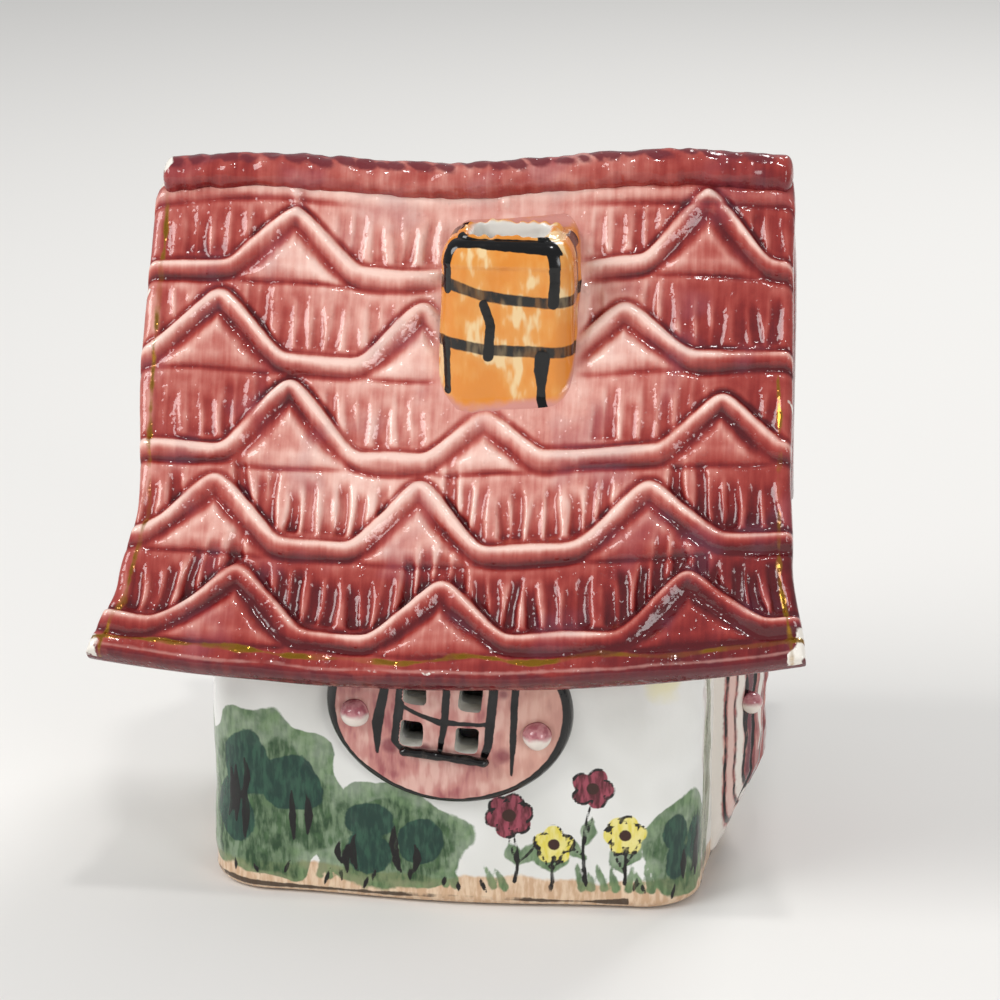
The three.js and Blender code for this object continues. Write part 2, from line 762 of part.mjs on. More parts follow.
addPiece(teaLight, 'tealight_wick', geometryOf(wickShape(0)), '#efe6d2', 0.9);

const waxRadius = cupRadius - cupWall - seatGap;
const waxTop = cupWall + waxDepth;
const wax = turned([
  [0, cupWall + seatGap],
  [waxRadius - cupInnerBevel, cupWall + seatGap],
  [waxRadius, cupWall + seatGap + cupInnerBevel],
  [waxRadius, waxTop],
  [waxRadius - waxMeniscusWidth, waxTop - waxPoolDepth],
  [0, waxTop - waxPoolDepth],
]);
const waxBlock = solid(wax).subtract(sustainerShape(seatGap)).subtract(wickShape(seatGap));
addPiece(teaLight, 'tealight_wax', geometryOf(waxBlock), '#f3efe4', 0.35);

export default group;
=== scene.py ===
"""House tea light holder: a hand-built, hand-painted cottage in glazed earthenware.

Every length in the making of a piece is in millimetres, and each mesh is turned to metres as it is made.
"""

import bpy
import numpy as np
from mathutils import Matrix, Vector


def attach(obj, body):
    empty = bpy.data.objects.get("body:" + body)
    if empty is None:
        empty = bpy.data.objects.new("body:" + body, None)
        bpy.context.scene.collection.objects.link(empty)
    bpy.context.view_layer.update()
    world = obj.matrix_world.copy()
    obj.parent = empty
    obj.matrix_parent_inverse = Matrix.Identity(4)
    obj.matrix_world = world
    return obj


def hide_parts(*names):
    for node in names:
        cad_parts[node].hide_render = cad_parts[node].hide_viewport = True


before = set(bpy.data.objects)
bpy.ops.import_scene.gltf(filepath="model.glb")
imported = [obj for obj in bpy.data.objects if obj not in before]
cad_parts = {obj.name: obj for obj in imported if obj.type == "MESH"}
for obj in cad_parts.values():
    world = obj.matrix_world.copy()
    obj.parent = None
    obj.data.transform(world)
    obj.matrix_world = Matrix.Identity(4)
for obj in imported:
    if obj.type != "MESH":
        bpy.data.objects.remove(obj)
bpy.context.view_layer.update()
scene = bpy.context.scene
scene.view_settings.view_transform = "Standard"


# Studio: a pale matte floor that runs on into a background of the same paper white, four soft
# lamps round the table and a camera a little to the right of the front, looking down.
def linear(hex_colour):
    """Linear RGBA of an sRGB hex colour."""
    parts = [int(hex_colour[i:i + 2], 16) / 255 for i in (1, 3, 5)]
    return [p / 12.92 if p <= 0.04045 else ((p + 0.055) / 1.055) ** 2.4 for p in parts] + [1]


def add(tree, kind, inputs=(), **settings):
    """Adds a node with its settings and fills its inputs, which are given by name or in order. Each is
    a number, a hex colour, a socket, or a node that stands for the first of its outputs in use."""
    node = tree.nodes.new(kind)
    for name, value in settings.items():
        setattr(node, name, value)
    in_use = [socket for socket in node.inputs if socket.enabled]
    for name, value in inputs.items() if isinstance(inputs, dict) else enumerate(inputs):
        socket = node.inputs[name] if isinstance(name, str) else in_use[name]
        if isinstance(value, bpy.types.Node):
            value = next(output for output in value.outputs if output.enabled)
        if isinstance(value, bpy.types.NodeSocket):
            tree.links.new(value, socket)
        else:
            socket.default_value = linear(value) if isinstance(value, str) else value
    return node


def new_material(name):
    material = bpy.data.materials.new(name)
    material.use_nodes = True
    material.node_tree.nodes.clear()
    return material, material.node_tree


paper_white = "#e6e4e0"
floor_half = 4.0
floor_mesh = bpy.data.meshes.new("studio_floor")
floor_mesh.from_pydata(
    [(x * floor_half, y * floor_half, -0.0002) for x, y in ((-1, -1), (1, -1), (1, 1), (-1, 1))],
    [], [(0, 1, 2, 3)])
studio_floor = bpy.data.objects.new("studio_floor", floor_mesh)
scene.collection.objects.link(studio_floor)
floor_paper, tree = new_material("matte_paper")
shader = add(tree, "ShaderNodeBsdfDiffuse", {"Color": paper_white})
add(tree, "ShaderNodeOutputMaterial", {"Surface": shader})
floor_mesh.materials.append(floor_paper)

world = bpy.data.worlds.new("studio")
scene.world = world
world.use_nodes = True
tree = world.node_tree
tree.nodes.clear()
path = add(tree, "ShaderNodeLightPath")
seen = add(tree, "ShaderNodeMath", (path.outputs["Is Camera Ray"], path.outputs["Is Transmission Ray"]),
           operation="MAXIMUM")
ambient = add(tree, "ShaderNodeBackground", {"Color": "#f4f6fa", "Strength": 0.42})
backdrop = add(tree, "ShaderNodeBackground", {"Color": paper_white, "Strength": 1.0})
shader = add(tree, "ShaderNodeMixShader", (seen, ambient, backdrop))
add(tree, "ShaderNodeOutputWorld", {"Surface": shader})

table_centre = Vector((0.0045, 0, 0.076))
for name, place, width, power in (
    ("lamp_key", (-0.85, -0.55, 0.8), 0.7, 9.5),
    ("lamp_fill", (0.8, -0.95, 0.4), 0.5, 4.0),
    ("lamp_back", (0.3, 0.8, 0.95), 0.4, 6.0),
    ("lamp_top", (0.12, -0.35, 1.25), 0.1, 2.2),
):
    light = bpy.data.lights.new(name, "AREA")
    light.shape = "DISK"
    light.size = width
    light.energy = power
    lamp = bpy.data.objects.new(name, light)
    scene.collection.objects.link(lamp)
    lamp.location = place
    lamp.rotation_euler = (table_centre - Vector(place)).to_track_quat("-Z", "Y").to_euler()

view_azimuth, view_elevation, view_distance = np.radians(7), np.radians(18), 0.75
direction = Vector((
    np.sin(view_azimuth) * np.cos(view_elevation),
    -np.cos(view_azimuth) * np.cos(view_elevation),
    np.sin(view_elevation)))
camera = bpy.data.objects.new("camera", bpy.data.cameras.new("camera"))
scene.collection.objects.link(camera)
camera.location = table_centre + view_distance * direction
camera.rotation_euler = (-direction).to_track_quat("-Z", "Y").to_euler()
camera.data.lens = 123.84
camera.data.sensor_width = 36
camera.data.clip_start = 0.01
scene.camera = camera


# Roof: one folded slab of rolled clay, glazed mauve. Rows of roping were modelled on both slopes,
# each running up into peaks, and the thatch between them was pressed in with a stick. It is made
# here as a front and a back half that meet in the plane of the ridge.
ridge_height, roll_radius, roll_cover = 152.4, 4.4, 3.2
apex_height = ridge_height - roll_cover
wall_half_length, wall_half_depth, wall_bow = 52.0, 43.5, 2.2
eave_height, eave_reach, eave_flare, eave_lift = 61.0, 58.0, 3.5, 4.0
eave_sag, eave_corner_lift, roof_lean = 2.4, 4.8, 0.034
roof_half_length, roof_thickness = 67.0, 6.0
chimney_x, chimney_y = 8.6, -15.0
chimney_half, chimney_radius = (14.3, 10.3), 4.5
flue_half = (7.9, 6.4)

# Verges as knots of share of the slope and distance from the middle
left_verge = ((0, 67.8), (0.06, 69.6), (0.4, 69.6), (0.7, 67.3), (0.86, 69.8), (1.04, 74.3))
right_verge = ((0, 66.4), (0.08, 67.1), (0.6, 68.6), (0.8, 69.9), (1.04, 73.6))
back_right_verge = ((0, 66.4), (0.3, 67.2), (1.04, 66.4))

row_lines = (22.0, 41.8, 61.6, 81.4, 101.2)
# Peaks of each row as place along the roof, rise and half width
front_peaks = (
    ((-36.9, 11.6, 11.5), (6.4, 11.5, 11), (49.2, 14.0, 11)),
    ((-51.5, 12.6, 12), (-9.5, 12.4, 10.5), (32.4, 10.4, 12)),
    ((-35.6, 14.4, 12), (4.5, 8.8, 10), (52.8, 10.8, 10.5)),
    ((-50.8, 12.8, 12.5), (-8.0, 14.0, 11.5), (38.7, 12.0, 12.5)),
    ((-43.2, 13.6, 12.5), (-1.9, 12.6, 11.5), (46.5, 12.8, 12)),
)
back_peaks = (
    ((-50.5, 12.2, 11.5), (-8.2, 11.4, 12), (34.6, 12.0, 11)),
    ((-29.8, 11.6, 12), (13.6, 12.8, 11), (56.4, 10.8, 11)),
    ((-52.4, 12.4, 11), (-9.6, 12.8, 12), (33.9, 11.2, 12)),
    ((-31.2, 13.0, 12), (11.7, 12.2, 11.5), (55.2, 11.6, 11)),
    ((-54.0, 12.0, 12), (-10.4, 13.4, 12.5), (33.0, 12.6, 12)),
)
groove_count, groove_pitch, groove_margin = 36, 3.6, 4.0
groove_length, groove_least, groove_half = 10.0, 4.0, 1.5
groove_depths = (0.6, 0.6, 0.6, 1.2, 1.3)


def ridge_wave(x):
    return roof_lean * x + 1.3 * np.cos(2 * np.pi * (x + 50) / 90)


def eave_wave(x):
    return roof_lean * x - eave_sag + eave_corner_lift * (x / roof_half_length) ** 2


def slope_rates(t):
    """How fast the slope runs out and falls at t, from 0 at the ridge to 1 at the eave."""
    out = eave_reach - eave_flare + 5 * eave_flare * t ** 4
    down = apex_height - eave_height + eave_lift - 5 * eave_lift * t ** 4
    size = np.hypot(out, down)
    return out, down, size


def eased_line(knots, t):
    """Value at t of a line through knots that eases into and out of each of them."""
    value = np.full(np.shape(t), float(knots[0][1]))
    for (start, first), (end, last) in zip(knots[:-1], knots[1:]):
        value += (last - first) * ease(start, end, t)
    return value


def verge_at(u, t, side):
    right = right_verge if side < 0 else back_right_verge
    return u * np.where(u < 0, eased_line(left_verge, t), eased_line(right, t))


def slope_place(u, t, lift, side):
    """Points on one slope, lifted square to it; side is -1 in front and 1 behind."""
    x = verge_at(u, t, side)
    out, down, size = slope_rates(t)
    reach = (eave_reach - eave_flare) * t + eave_flare * t ** 5 + lift * down / size
    fall = (apex_height - eave_height + eave_lift) * t - eave_lift * t ** 5
    wave = ridge_wave(x) * (1 - t) + eave_wave(x) * t
    return np.stack([x, side * reach, apex_height - fall + wave + lift * out / size], -1)


def ease(low, high, value):
    """Runs smoothly from 0 at low to 1 at high."""
    share = np.clip((value - low) / (high - low), 0, 1)
    return share * share * (3 - 2 * share)


slope_length = float(np.linalg.norm(slope_place(0.0, 0.0, 0, 1) - slope_place(0.0, 1.0, 0, 1)))


def lumps(seed, size, x, y):
    """Uneven hand-made field of about -1 to 1 whose lumps are size across."""
    random = np.random.default_rng(seed)
    total = np.zeros(np.broadcast(x, y).shape)
    for turn, phase, stretch in random.uniform((0, 0, 0.7), (np.pi, 2 * np.pi, 1.5), (9, 3)):
        total += np.sin(np.pi / size * stretch * (x * np.cos(turn) + y * np.sin(turn)) + phase)
    return total / 4.2


def rope_line(row, peaks, x):
    """Distance down the slope of a row's rope, which is level between peaks and climbs over them."""
    line = row_lines[row] + 0.4 * lumps(40 + row, 26, x, 0 * x)
    for place, rise, half in peaks:
        away = (np.hypot(x - place, 1.1) - 1.1) / half
        line = line - rise * 0.09 * np.logaddexp(0, (1 - away) / 0.09)
    return line


def rope_distance(row, peaks, x, s):
    """Shortest distance to a row's rope, negative on its upper side."""
    nearest = np.full(x.shape, 1e9)
    for offset in np.arange(-6, 6.01, 0.3):
        line = rope_line(row, peaks, x + offset)
        nearest = np.minimum(nearest, offset ** 2 + (s - line) ** 2)
    return np.sqrt(nearest) * np.sign(s - rope_line(row, peaks, x))


def past_chimney(x, s):
    """Distance in plan of a place on the front slope from the outline of the chimney's foot."""
    y = slope_place(x / roof_half_length, s / slope_length, 0, -1)[..., 1]
    return np.maximum(abs(x - chimney_x) - chimney_half[0], abs(y - chimney_y) - chimney_half[1])


def groove_relief(x, s, side, peaks_of):
    """Depth of the stick's grooves, which stand side by side above each rope."""
    depths = np.zeros(x.shape)
    for row, row_depth in enumerate(groove_depths):
        line = rope_line(row, peaks_of[row], x)
        for k in range(groove_count):
            def uneven(rate):
                return np.sin(rate * k + 1.9 * row + side)
            start = groove_margin - roof_half_length + k * groove_pitch + 0.55 * uneven(2.7)
            rope = float(rope_line(row, peaks_of[row], start)) - 3.0
            above = 9.0 if row == 0 else float(rope_line(row - 1, peaks_of[row - 1], start)) + 4.95
            top = max(rope - groove_length - 1.6 * uneven(3.1), above)
            length = rope - top
            hidden = side < 0 and any(past_chimney(start, end) < 2.3 for end in (rope, top))
            if length < groove_least or hidden:
                continue
            column = np.abs(x - start) < 3.4
            xs, ss = x[column], s[column]
            foot = line[column] - 2.7
            centre = start + 0.08 * (ss - top) * uneven(1.7) + 0.25 * np.sin(ss * 0.4 + 2 * k)
            width = groove_half * (1 + 0.1 * uneven(5.3)) * (0.8 + 0.2 * ease(top, rope, ss))
            across = np.exp(-np.abs((xs - centre) / width) ** 4)
            along = ease(top - 1.5, top + 2.2, ss) * ease(foot + 0.6, foot - 1.4, ss)
            depth = row_depth * (1 + 0.25 * uneven(4.3)) * (0.6 + 0.5 * ease(top, rope, ss))
            depths[column] = np.maximum(depths[column], depth * across * along)
    return depths


def thatch_relief(x, s, side):
    """Height of the modelled surface over the even slab, in mm, and painted shade below the ropes, with
    painted highlights on crests and peaks.
    """
    peaks_of = front_peaks if side < 0 else back_peaks
    seed = 100 if side < 0 else 200
    height = 0.42 * lumps(seed, 19, x, s) + 0.16 * lumps(seed + 1, 7, x, s)
    height = height + 0.05 * lumps(seed + 2, 2.4, x, s)
    shade = np.zeros(x.shape)
    for row, peaks in enumerate(peaks_of):
        gap = rope_distance(row, peaks, x, s)
        level = row_lines[row] + 0.4 * lumps(40 + row, 26, x, 0 * x)
        half = 2.1 + 0.35 * lumps(seed + 10 + row, 11, x, s)
        strength = 1 + 0.28 * lumps(seed + 20 + row, 13, x, s)
        climb = ease(0.6, 3.0, level - rope_line(row, peaks, x))
        crest = -0.8 + 0.25 * lumps(seed + 40 + row, 15, x, s)
        fall = np.where(gap < crest, (crest - gap) / (half + crest), (gap - crest) / (half - crest))
        height += 1.35 * strength * np.clip(1 - fall ** 1.35, 0, 1)
        # Painted shade on the rope's lower side and a painted highlight on its crest
        shade += (0.34 - 0.1 * climb) * np.exp(-((gap - 1.5) / 1.2) ** 2)
        shade -= 0.2 * strength * np.exp(-((gap - crest + 0.1) / 0.75) ** 2)
        height -= (0.34 + 0.14 * climb) * strength * np.exp(-((gap + half + 0.3) / 0.6) ** 2)
        height -= (0.62 - 0.3 * climb) * strength * np.exp(-((gap - half - 0.5) / (0.8 + 0.4 * climb)) ** 2)
        base = level + half + 0.5
        for place, _, width in peaks:
            reach = abs(x - place)
            inside = ease(0.4, 3.4, gap - half) * ease(-0.2, 3.4, base - s) * ease(width, width - 3, reach)
            height += 0.9 * inside
            # A painted highlight inside the peak
            shade -= 0.14 * inside
            sill = ease(width + 1.0, width - 2.0, reach) * (0.72 + 0.28 * lumps(seed + 30 + row, 9, x, 0 * x))
            height -= 0.62 * sill * np.exp(-((s - base) / 0.6) ** 2) * ease(0.2, 1.2, gap)
    height -= groove_relief(x, s, side, peaks_of)
    # Under the ridge roll: a pressed strip between two creases, with a stub down to each first peak
    strip = 5.4 + 0.9 * lumps(seed + 60, 34, x, 0 * x)
    height += 0.8 * np.exp(-((s - strip) / 1.8) ** 2)
    height -= 0.45 * np.exp(-((s - strip - 2.4) / 0.7) ** 2) * ease(14, 34, abs(x + 4))
    for place, _, _ in peaks_of[0]:
        stub = np.exp(-((x - place - 0.12 * (s - 8)) / 1.1) ** 2)
        height += 0.8 * stub * ease(4, 6.5, s) * ease(12, 9.5, s)
    if side < 0:
        clear = past_chimney(x, s)
        height *= ease(-1.0, 3.6, clear)
        shade *= ease(0, 5, clear)
    return height, shade


def blur(field, steps):
    """Mean of a grid's values over a square of steps to each side, twice over."""
    for axis in (0, 1, 0, 1):
        pad = [(0, 0), (0, 0)]
        pad[axis] = (steps + 1, steps)
        sums = np.cumsum(np.pad(field, pad, mode="edge"), axis=axis)
        size = 2 * steps + 1
        low = np.take(sums, range(0, sums.shape[axis] - size), axis=axis)
        high = np.take(sums, range(size, sums.shape[axis]), axis=axis)
        field = (high - low) / size
    return field


def piece_from(name, points, faces, marks=None):
    """A closed piece from points in mm and its faces, with one value per point for each mark."""
    mesh = bpy.data.meshes.new(name)
    mesh.from_pydata((np.asarray(points) / 1000).tolist(), [], faces)
    for mark, values in (marks or {}).items():
        layer = mesh.attributes.new(mark, "FLOAT", "POINT")
        layer.data.foreach_set("value", np.asarray(values, np.float32).ravel())
    mesh.shade_smooth()
    piece = bpy.data.objects.new(name, mesh)
    scene.collection.objects.link(piece)
    return piece


# A painted mark's value on its outline, and a distance in mm that no mark reaches over
mark_edge, far = 3.0, 9.0


def near(gap):
    """A painted mark's value for the glaze: mark_edge on its outline, more inside and less outside."""
    return np.clip(mark_edge - gap, 0, 2 * mark_edge)


edge_steps, edge_width, edge_shape = 12, 2.6, 3.2
roof_columns, roof_rows, underside_pitch = 313, 225, 4
# Worn places of the slab's edge, as distances along and down the slope and a length
worn_places = (
    (-67.5, 1.0, 2.2), (-73.0, 100.5, 1.2), (-73.6, 107.2, 2.4), (73.0, 103.5, 1.5), (71.8, 108.0, 2.3),
    (-14.0, 107.0, 1.2), (-3.0, 107.2, 1.0), (-69.6, 27.0, 0.8), (67.8, 20.0, 0.6), (68.4, 51.0, 0.6),
)


def roof_half(name, side):
    bend = 1 - np.cos(np.linspace(0, np.pi / 2, edge_steps + 1)) ** (2 / edge_shape)
    inner = np.linspace(edge_width, 2 * roof_half_length - edge_width, roof_columns)
    across = np.concatenate([edge_width * bend, inner[1:-1], 2 * roof_half_length - edge_width * bend[::-1]])
    u = across / roof_half_length - 1
    full = slope_length + roof_thickness / 2
    down = np.concatenate([np.linspace(0, full - edge_width, roof_rows), full - edge_width * bend[::-1][1:]])
    verge_gap = np.minimum(across, 2 * roof_half_length - across)[:, None]
    eave_gap = (full - down)[None, :]
    corner = 1 / np.sqrt(np.maximum(verge_gap, 1e-3) ** -2 + np.maximum(eave_gap, 1e-3) ** -2)
    fullness = (1 - (1 - np.minimum(corner / edge_width, 1)) ** edge_shape) ** (1 / edge_shape)
    uu, ss = np.meshgrid(u, down, indexing="ij")
    xx = verge_at(uu, ss / slope_length, side)
    relief, shade = thatch_relief(uu * roof_half_length, ss, side)
    near_ridge = ease(0.5, 3.5, ss)
    top_lift = roof_thickness / 2 * (fullness - 1) + relief * fullness * near_ridge
    low_lift = -roof_thickness / 2 * (fullness + 1) + 0.5 * lumps(7, 15, xx, ss) * fullness * ease(4, 12, ss)
    out, fall, size = slope_rates(0.0)

    def sheet(lift):
        start = -lift[:, :1] * fall / size / out
        t = start + (ss / slope_length) * (1 - start * slope_length / full)
        return slope_place(uu, t, lift, side)

    top, low = sheet(top_lift), sheet(low_lift)
    columns, rows = uu.shape
    top_id = np.arange(columns * rows).reshape(columns, rows)
    keep_u = [i for i in range(columns) if min(i, columns - 1 - i) <= edge_steps or i % underside_pitch == 0]
    keep_s = [j for j in range(rows) if rows - 1 - j <= edge_steps or j % underside_pitch == 0]
    low_id = np.full((columns, rows), -1)
    points = [top.reshape(-1, 3)]
    count = columns * rows
    for i in keep_u[1:-1]:
        inner_rows = keep_s[:-1]
        low_id[i, inner_rows] = np.arange(count, count + len(inner_rows))
        points.append(low[i, inner_rows])
        count += len(inner_rows)
    low_id = np.where(low_id < 0, top_id, low_id)
    quads = np.stack([top_id[:-1, :-1], top_id[1:, :-1], top_id[1:, 1:], top_id[:-1, 1:]], -1).reshape(-1, 4)
    if side > 0:
        quads = quads[:, ::-1]
    faces = quads.tolist()

    def edge_path(i0, j0, i1, j1):
        """Ids from one corner of a lower cell up to the next, with all the rim's points between."""
        on_rim = (i0 == i1 and i0 in (0, columns - 1)) or (j0 == j1 and j0 == rows - 1)
        if not on_rim:
            return [low_id[i0, j0]]
        steps = max(abs(i1 - i0), abs(j1 - j0))
        return [top_id[i0 + (i1 - i0) * k // steps, j0 + (j1 - j0) * k // steps] for k in range(steps)]

    for i0, i1 in zip(keep_u[:-1], keep_u[1:]):
        for j0, j1 in zip(keep_s[:-1], keep_s[1:]):
            cell = (edge_path(i0, j0, i0, j1) + edge_path(i0, j1, i1, j1)
                    + edge_path(i1, j1, i1, j0) + edge_path(i1, j0, i0, j0))
            faces.append([int(c) for c in (cell if side < 0 else cell[::-1])])
    for i0, i1 in zip(keep_u[:-1], keep_u[1:]):
        wall = [int(top_id[k, 0]) for k in range(i1, i0 - 1, -1)]
        wall += [int(low_id[k, 0]) for k in (i0, i1) if low_id[k, 0] != top_id[k, 0]]
        faces.append(wall if side < 0 else wall[::-1])
    surface = relief * fullness * near_ridge
    # Glaze pooled in hollows and thin on crests, plus the relief's painted shade and highlights, and a
    # painted highlight high in the middle of the front slope
    pool_and_shade = 0.22 * (blur(surface, 7) - surface) + 1.1 * (blur(surface, 2) - surface)
    painted_highlight_top = 0.16 * ease(40, 10, ss) * np.exp(-(xx / 24) ** 2) * (side < 0)
    pool_and_shade = pool_and_shade * (0.9 + 0.3 * lumps(8, 9, xx, ss)) + shade * near_ridge - painted_highlight_top
    verge_gold = abs(verge_gap - 2.7 - 0.5 * lumps(5, 14, ss, 0 * ss)) - 0.15
    verge_gold = verge_gold + (0.1 + 6 * ease(46, 36, ss)) * (uu > 0)
    eave_gold = abs(eave_gap - 4.4 - 0.9 * lumps(6, 16, xx, 0 * xx)) - 0.2
    eave_gold = eave_gold - 0.3 * lumps(14, 8, xx, 0 * xx)
    gold = np.minimum(verge_gold, eave_gold)
    bare = np.full(uu.shape, far)
    if side < 0:
        for place, distance, radius in worn_places:
            away = np.hypot(xx - place, ss - distance) - radius * (1 + 0.35 * lumps(9, 1.6, xx, ss))
            bare = np.minimum(bare, np.maximum(away, corner - 1.5 - 0.4 * lumps(10, 2.2, xx, ss)))
    lip = eave_gap - 1.25 - 0.3 * lumps(11, 9, xx, ss)

    def whole(values, low_values):
        """One value for each point of the upper face, and then for each of the underside."""
        rest = np.broadcast_to(low_values, uu.shape)
        return np.concatenate([np.ravel(values)] + [rest[i, inner_rows] for i in keep_u[1:-1]])

    marks = {
        "pool_and_shade": whole(pool_and_shade, 0.25),
        "gold": whole(near(gold), 0.0),
        "bare": whole(near(bare), 0.0),
        "lip": whole(near(lip), near(eave_gap - 12.0)),
        # A pale line along the eave's top edge: glaze run thin there, and a painted highlight
        "thin_glaze_and_highlight": whole(near(abs(eave_gap - 1.9 - 0.3 * lumps(12, 11, xx, ss)) - 0.3), 0.0),
        "down": whole(ss, 60.0),
    }
    return piece_from(name, np.concatenate(points), faces, marks)


def slope_height(x, y, lift):
    """Height of the roof's even face, lifted square to the slope, over a place in plan."""
    t = np.abs(y) / eave_reach + 0 * x
    for _ in range(12):
        out, down, size = slope_rates(t)
        t = t + (np.abs(y) - (eave_reach - eave_flare) * t - eave_flare * t ** 5 - lift * down / size) / out
    out, down, size = slope_rates(t)
    fall = (apex_height - eave_height + eave_lift) * t - eave_lift * t ** 5
    return apex_height - fall + ridge_wave(x) * (1 - t) + eave_wave(x) * t + lift * out / size


def lofted(name, rings, marks=None, around=False):
    """A closed piece through rings of points, anticlockwise seen from where the rings travel to.
    Its ends are closed with a flat face, or joined to each other when the rings go around."""
    rings = np.asarray(rings)
    count, columns = rings.shape[:2]
    ids = np.arange(count * columns).reshape(count, columns)
    if around:
        ids = np.concatenate([ids, ids[:1]])
    ids = np.concatenate([ids, ids[:, :1]], 1)
    faces = np.stack([ids[:-1, :-1], ids[:-1, 1:], ids[1:, 1:], ids[1:, :-1]], -1).reshape(-1, 4).tolist()
    if not around:
        faces += [ids[0, :-1][::-1].tolist(), ids[-1, :-1].tolist()]
    return piece_from(name, rings.reshape(-1, 3), faces, marks)


def ring_at(plan, z):
    """A ring of points over a plan, at one height or at a height for each of them."""
    return np.column_stack([plan, np.broadcast_to(z, len(plan))])


def settle(piece):
    """Keeps what a piece's modifiers make of it as its plain mesh."""
    depsgraph = bpy.context.evaluated_depsgraph_get()
    result = bpy.data.meshes.new_from_object(piece.evaluated_get(depsgraph))
    piece.modifiers.clear()
    piece.data = result


def cut(piece, cutter):
    """Cuts one closed piece out of another and removes the cutter."""
    boolean = piece.modifiers.new("cut", "BOOLEAN")
    boolean.operation = "DIFFERENCE"
    boolean.solver = "EXACT"
    boolean.object = cutter
    settle(piece)
    bpy.data.objects.remove(cutter)


def run_along(line):
    """Distance from a line's first point to each of its points, along the line."""
    return np.concatenate([[0], np.cumsum(np.linalg.norm(np.diff(line, axis=0), axis=1))])


def rounded_plan(centre, half, radius, steps=50):
    """Outline of a rounded rectangle as x and y, anticlockwise, even along its length."""
    corners = []
    for quarter, (sx, sy) in enumerate(((1, 1), (-1, 1), (-1, -1), (1, -1))):
        turn = (quarter + np.linspace(0, 1, 24)) * np.pi / 2
        corners.append(np.stack([sx * (half[0] - radius) + radius * np.cos(turn),
                                 sy * (half[1] - radius) + radius * np.sin(turn)], -1))
    line = np.concatenate(corners + [corners[0][:1]])
    run = run_along(line)
    at = np.linspace(0, run[-1], steps, endpoint=False)
    return np.stack([centre[i] + np.interp(at, run, line[:, i]) for i in (0, 1)], -1)


roof_front = roof_half("roof_front", -1)
roof_back = roof_half("roof_back", 1)
flue_plan = rounded_plan((chimney_x, chimney_y), flue_half, 3.0)
cut(roof_front, lofted("flue_cutter", [ring_at(flue_plan, z) for z in (90.0, 140.0)]))


# Mauve glaze, brushed thin over white and fired glossy. It runs off the crests and stands dark in the
# grooves, so the crests show pale pink and every crease a deep plum; painted shade deepens the lower side of
# each rope, the verges and the lower rows, and painted highlights lighten the crests and the upper middle of
# the front slope. A line of gold lustre, rubbed away in places, follows the verges and eaves.
eased = {"interpolation_type": "SMOOTHSTEP"}


def grain(tree, size, detail=2.0, stretch=(1, 1, 1)):
    """Noise whose cells are size mm across, longer where stretch is below 1."""
    place = add(tree, "ShaderNodeTexCoord")
    drawn = add(tree, "ShaderNodeMapping", {"Vector": place.outputs["Object"], "Scale": stretch})
    return add(tree, "ShaderNodeTexNoise", {"Vector": drawn, "Scale": 1000 / size, "Detail": detail})


def nudged(tree, value, noise, amount):
    """A value that a noise moves up and down, by half of amount each way at most."""
    centred = add(tree, "ShaderNodeMath", (noise, 0.5), operation="SUBTRACT")
    return add(tree, "ShaderNodeMath", (centred, amount, value), operation="MULTIPLY_ADD")


def painted(tree, name, wobble=0.5, soft=0.15, size=2.0):
    """How much a painted mark covers, with a hand-made edge that wobbles by that many mm."""
    mark = add(tree, "ShaderNodeAttribute", attribute_name=name).outputs["Fac"]
    moved = nudged(tree, mark, grain(tree, size), 2 * wobble)
    return add(tree, "ShaderNodeMapRange", (moved, mark_edge - soft, mark_edge + soft, 0, 1), **eased)


def coated(tree, under, coats):
    """Lays painted marks over a colour: the mark, its edge's wobble and softness, thickness and colour."""
    for name, wobble, soft, thick, over in coats:
        cover = add(tree, "ShaderNodeMath", (painted(tree, name, wobble, soft), thick), operation="MULTIPLY")
        under = add(tree, "ShaderNodeMix", (cover, under, over), data_type="RGBA")
    return under


def toned(tree, field, low, high, first, second, most=1.0):
    """A colour that goes from the first towards the second while a field goes from low to high."""
    share = add(tree, "ShaderNodeMapRange", (field, low, high, 0, most), **eased)
    return add(tree, "ShaderNodeMix", (share, first, second), data_type="RGBA")


def end_material(tree, colour, roughness, height, strength, depth=0.0003, extra=None):
    """Ends a material with its shader, whose surface a height roughens by a depth in metres."""
    bump = add(tree, "ShaderNodeBump", {"Height": height, "Strength": strength, "Distance": depth})
    inputs = {"Base Color": colour, "Roughness": roughness, "Normal": bump}
    shader = add(tree, "ShaderNodeBsdfPrincipled", {**inputs, **(extra or {})})
    add(tree, "ShaderNodeOutputMaterial", {"Surface": shader})


mauve_glaze, tree = new_material("mauve_glaze_brushed")
place = add(tree, "ShaderNodeTexCoord")
streaks = grain(tree, 1.1, 3.0, (1, 0.1, 0.1))
clouds, blots = grain(tree, 28), grain(tree, 4.5, 3.0)
where = add(tree, "ShaderNodeSeparateXYZ", {0: place.outputs["Object"]})
down = add(tree, "ShaderNodeAttribute", attribute_name="down").outputs["Fac"]
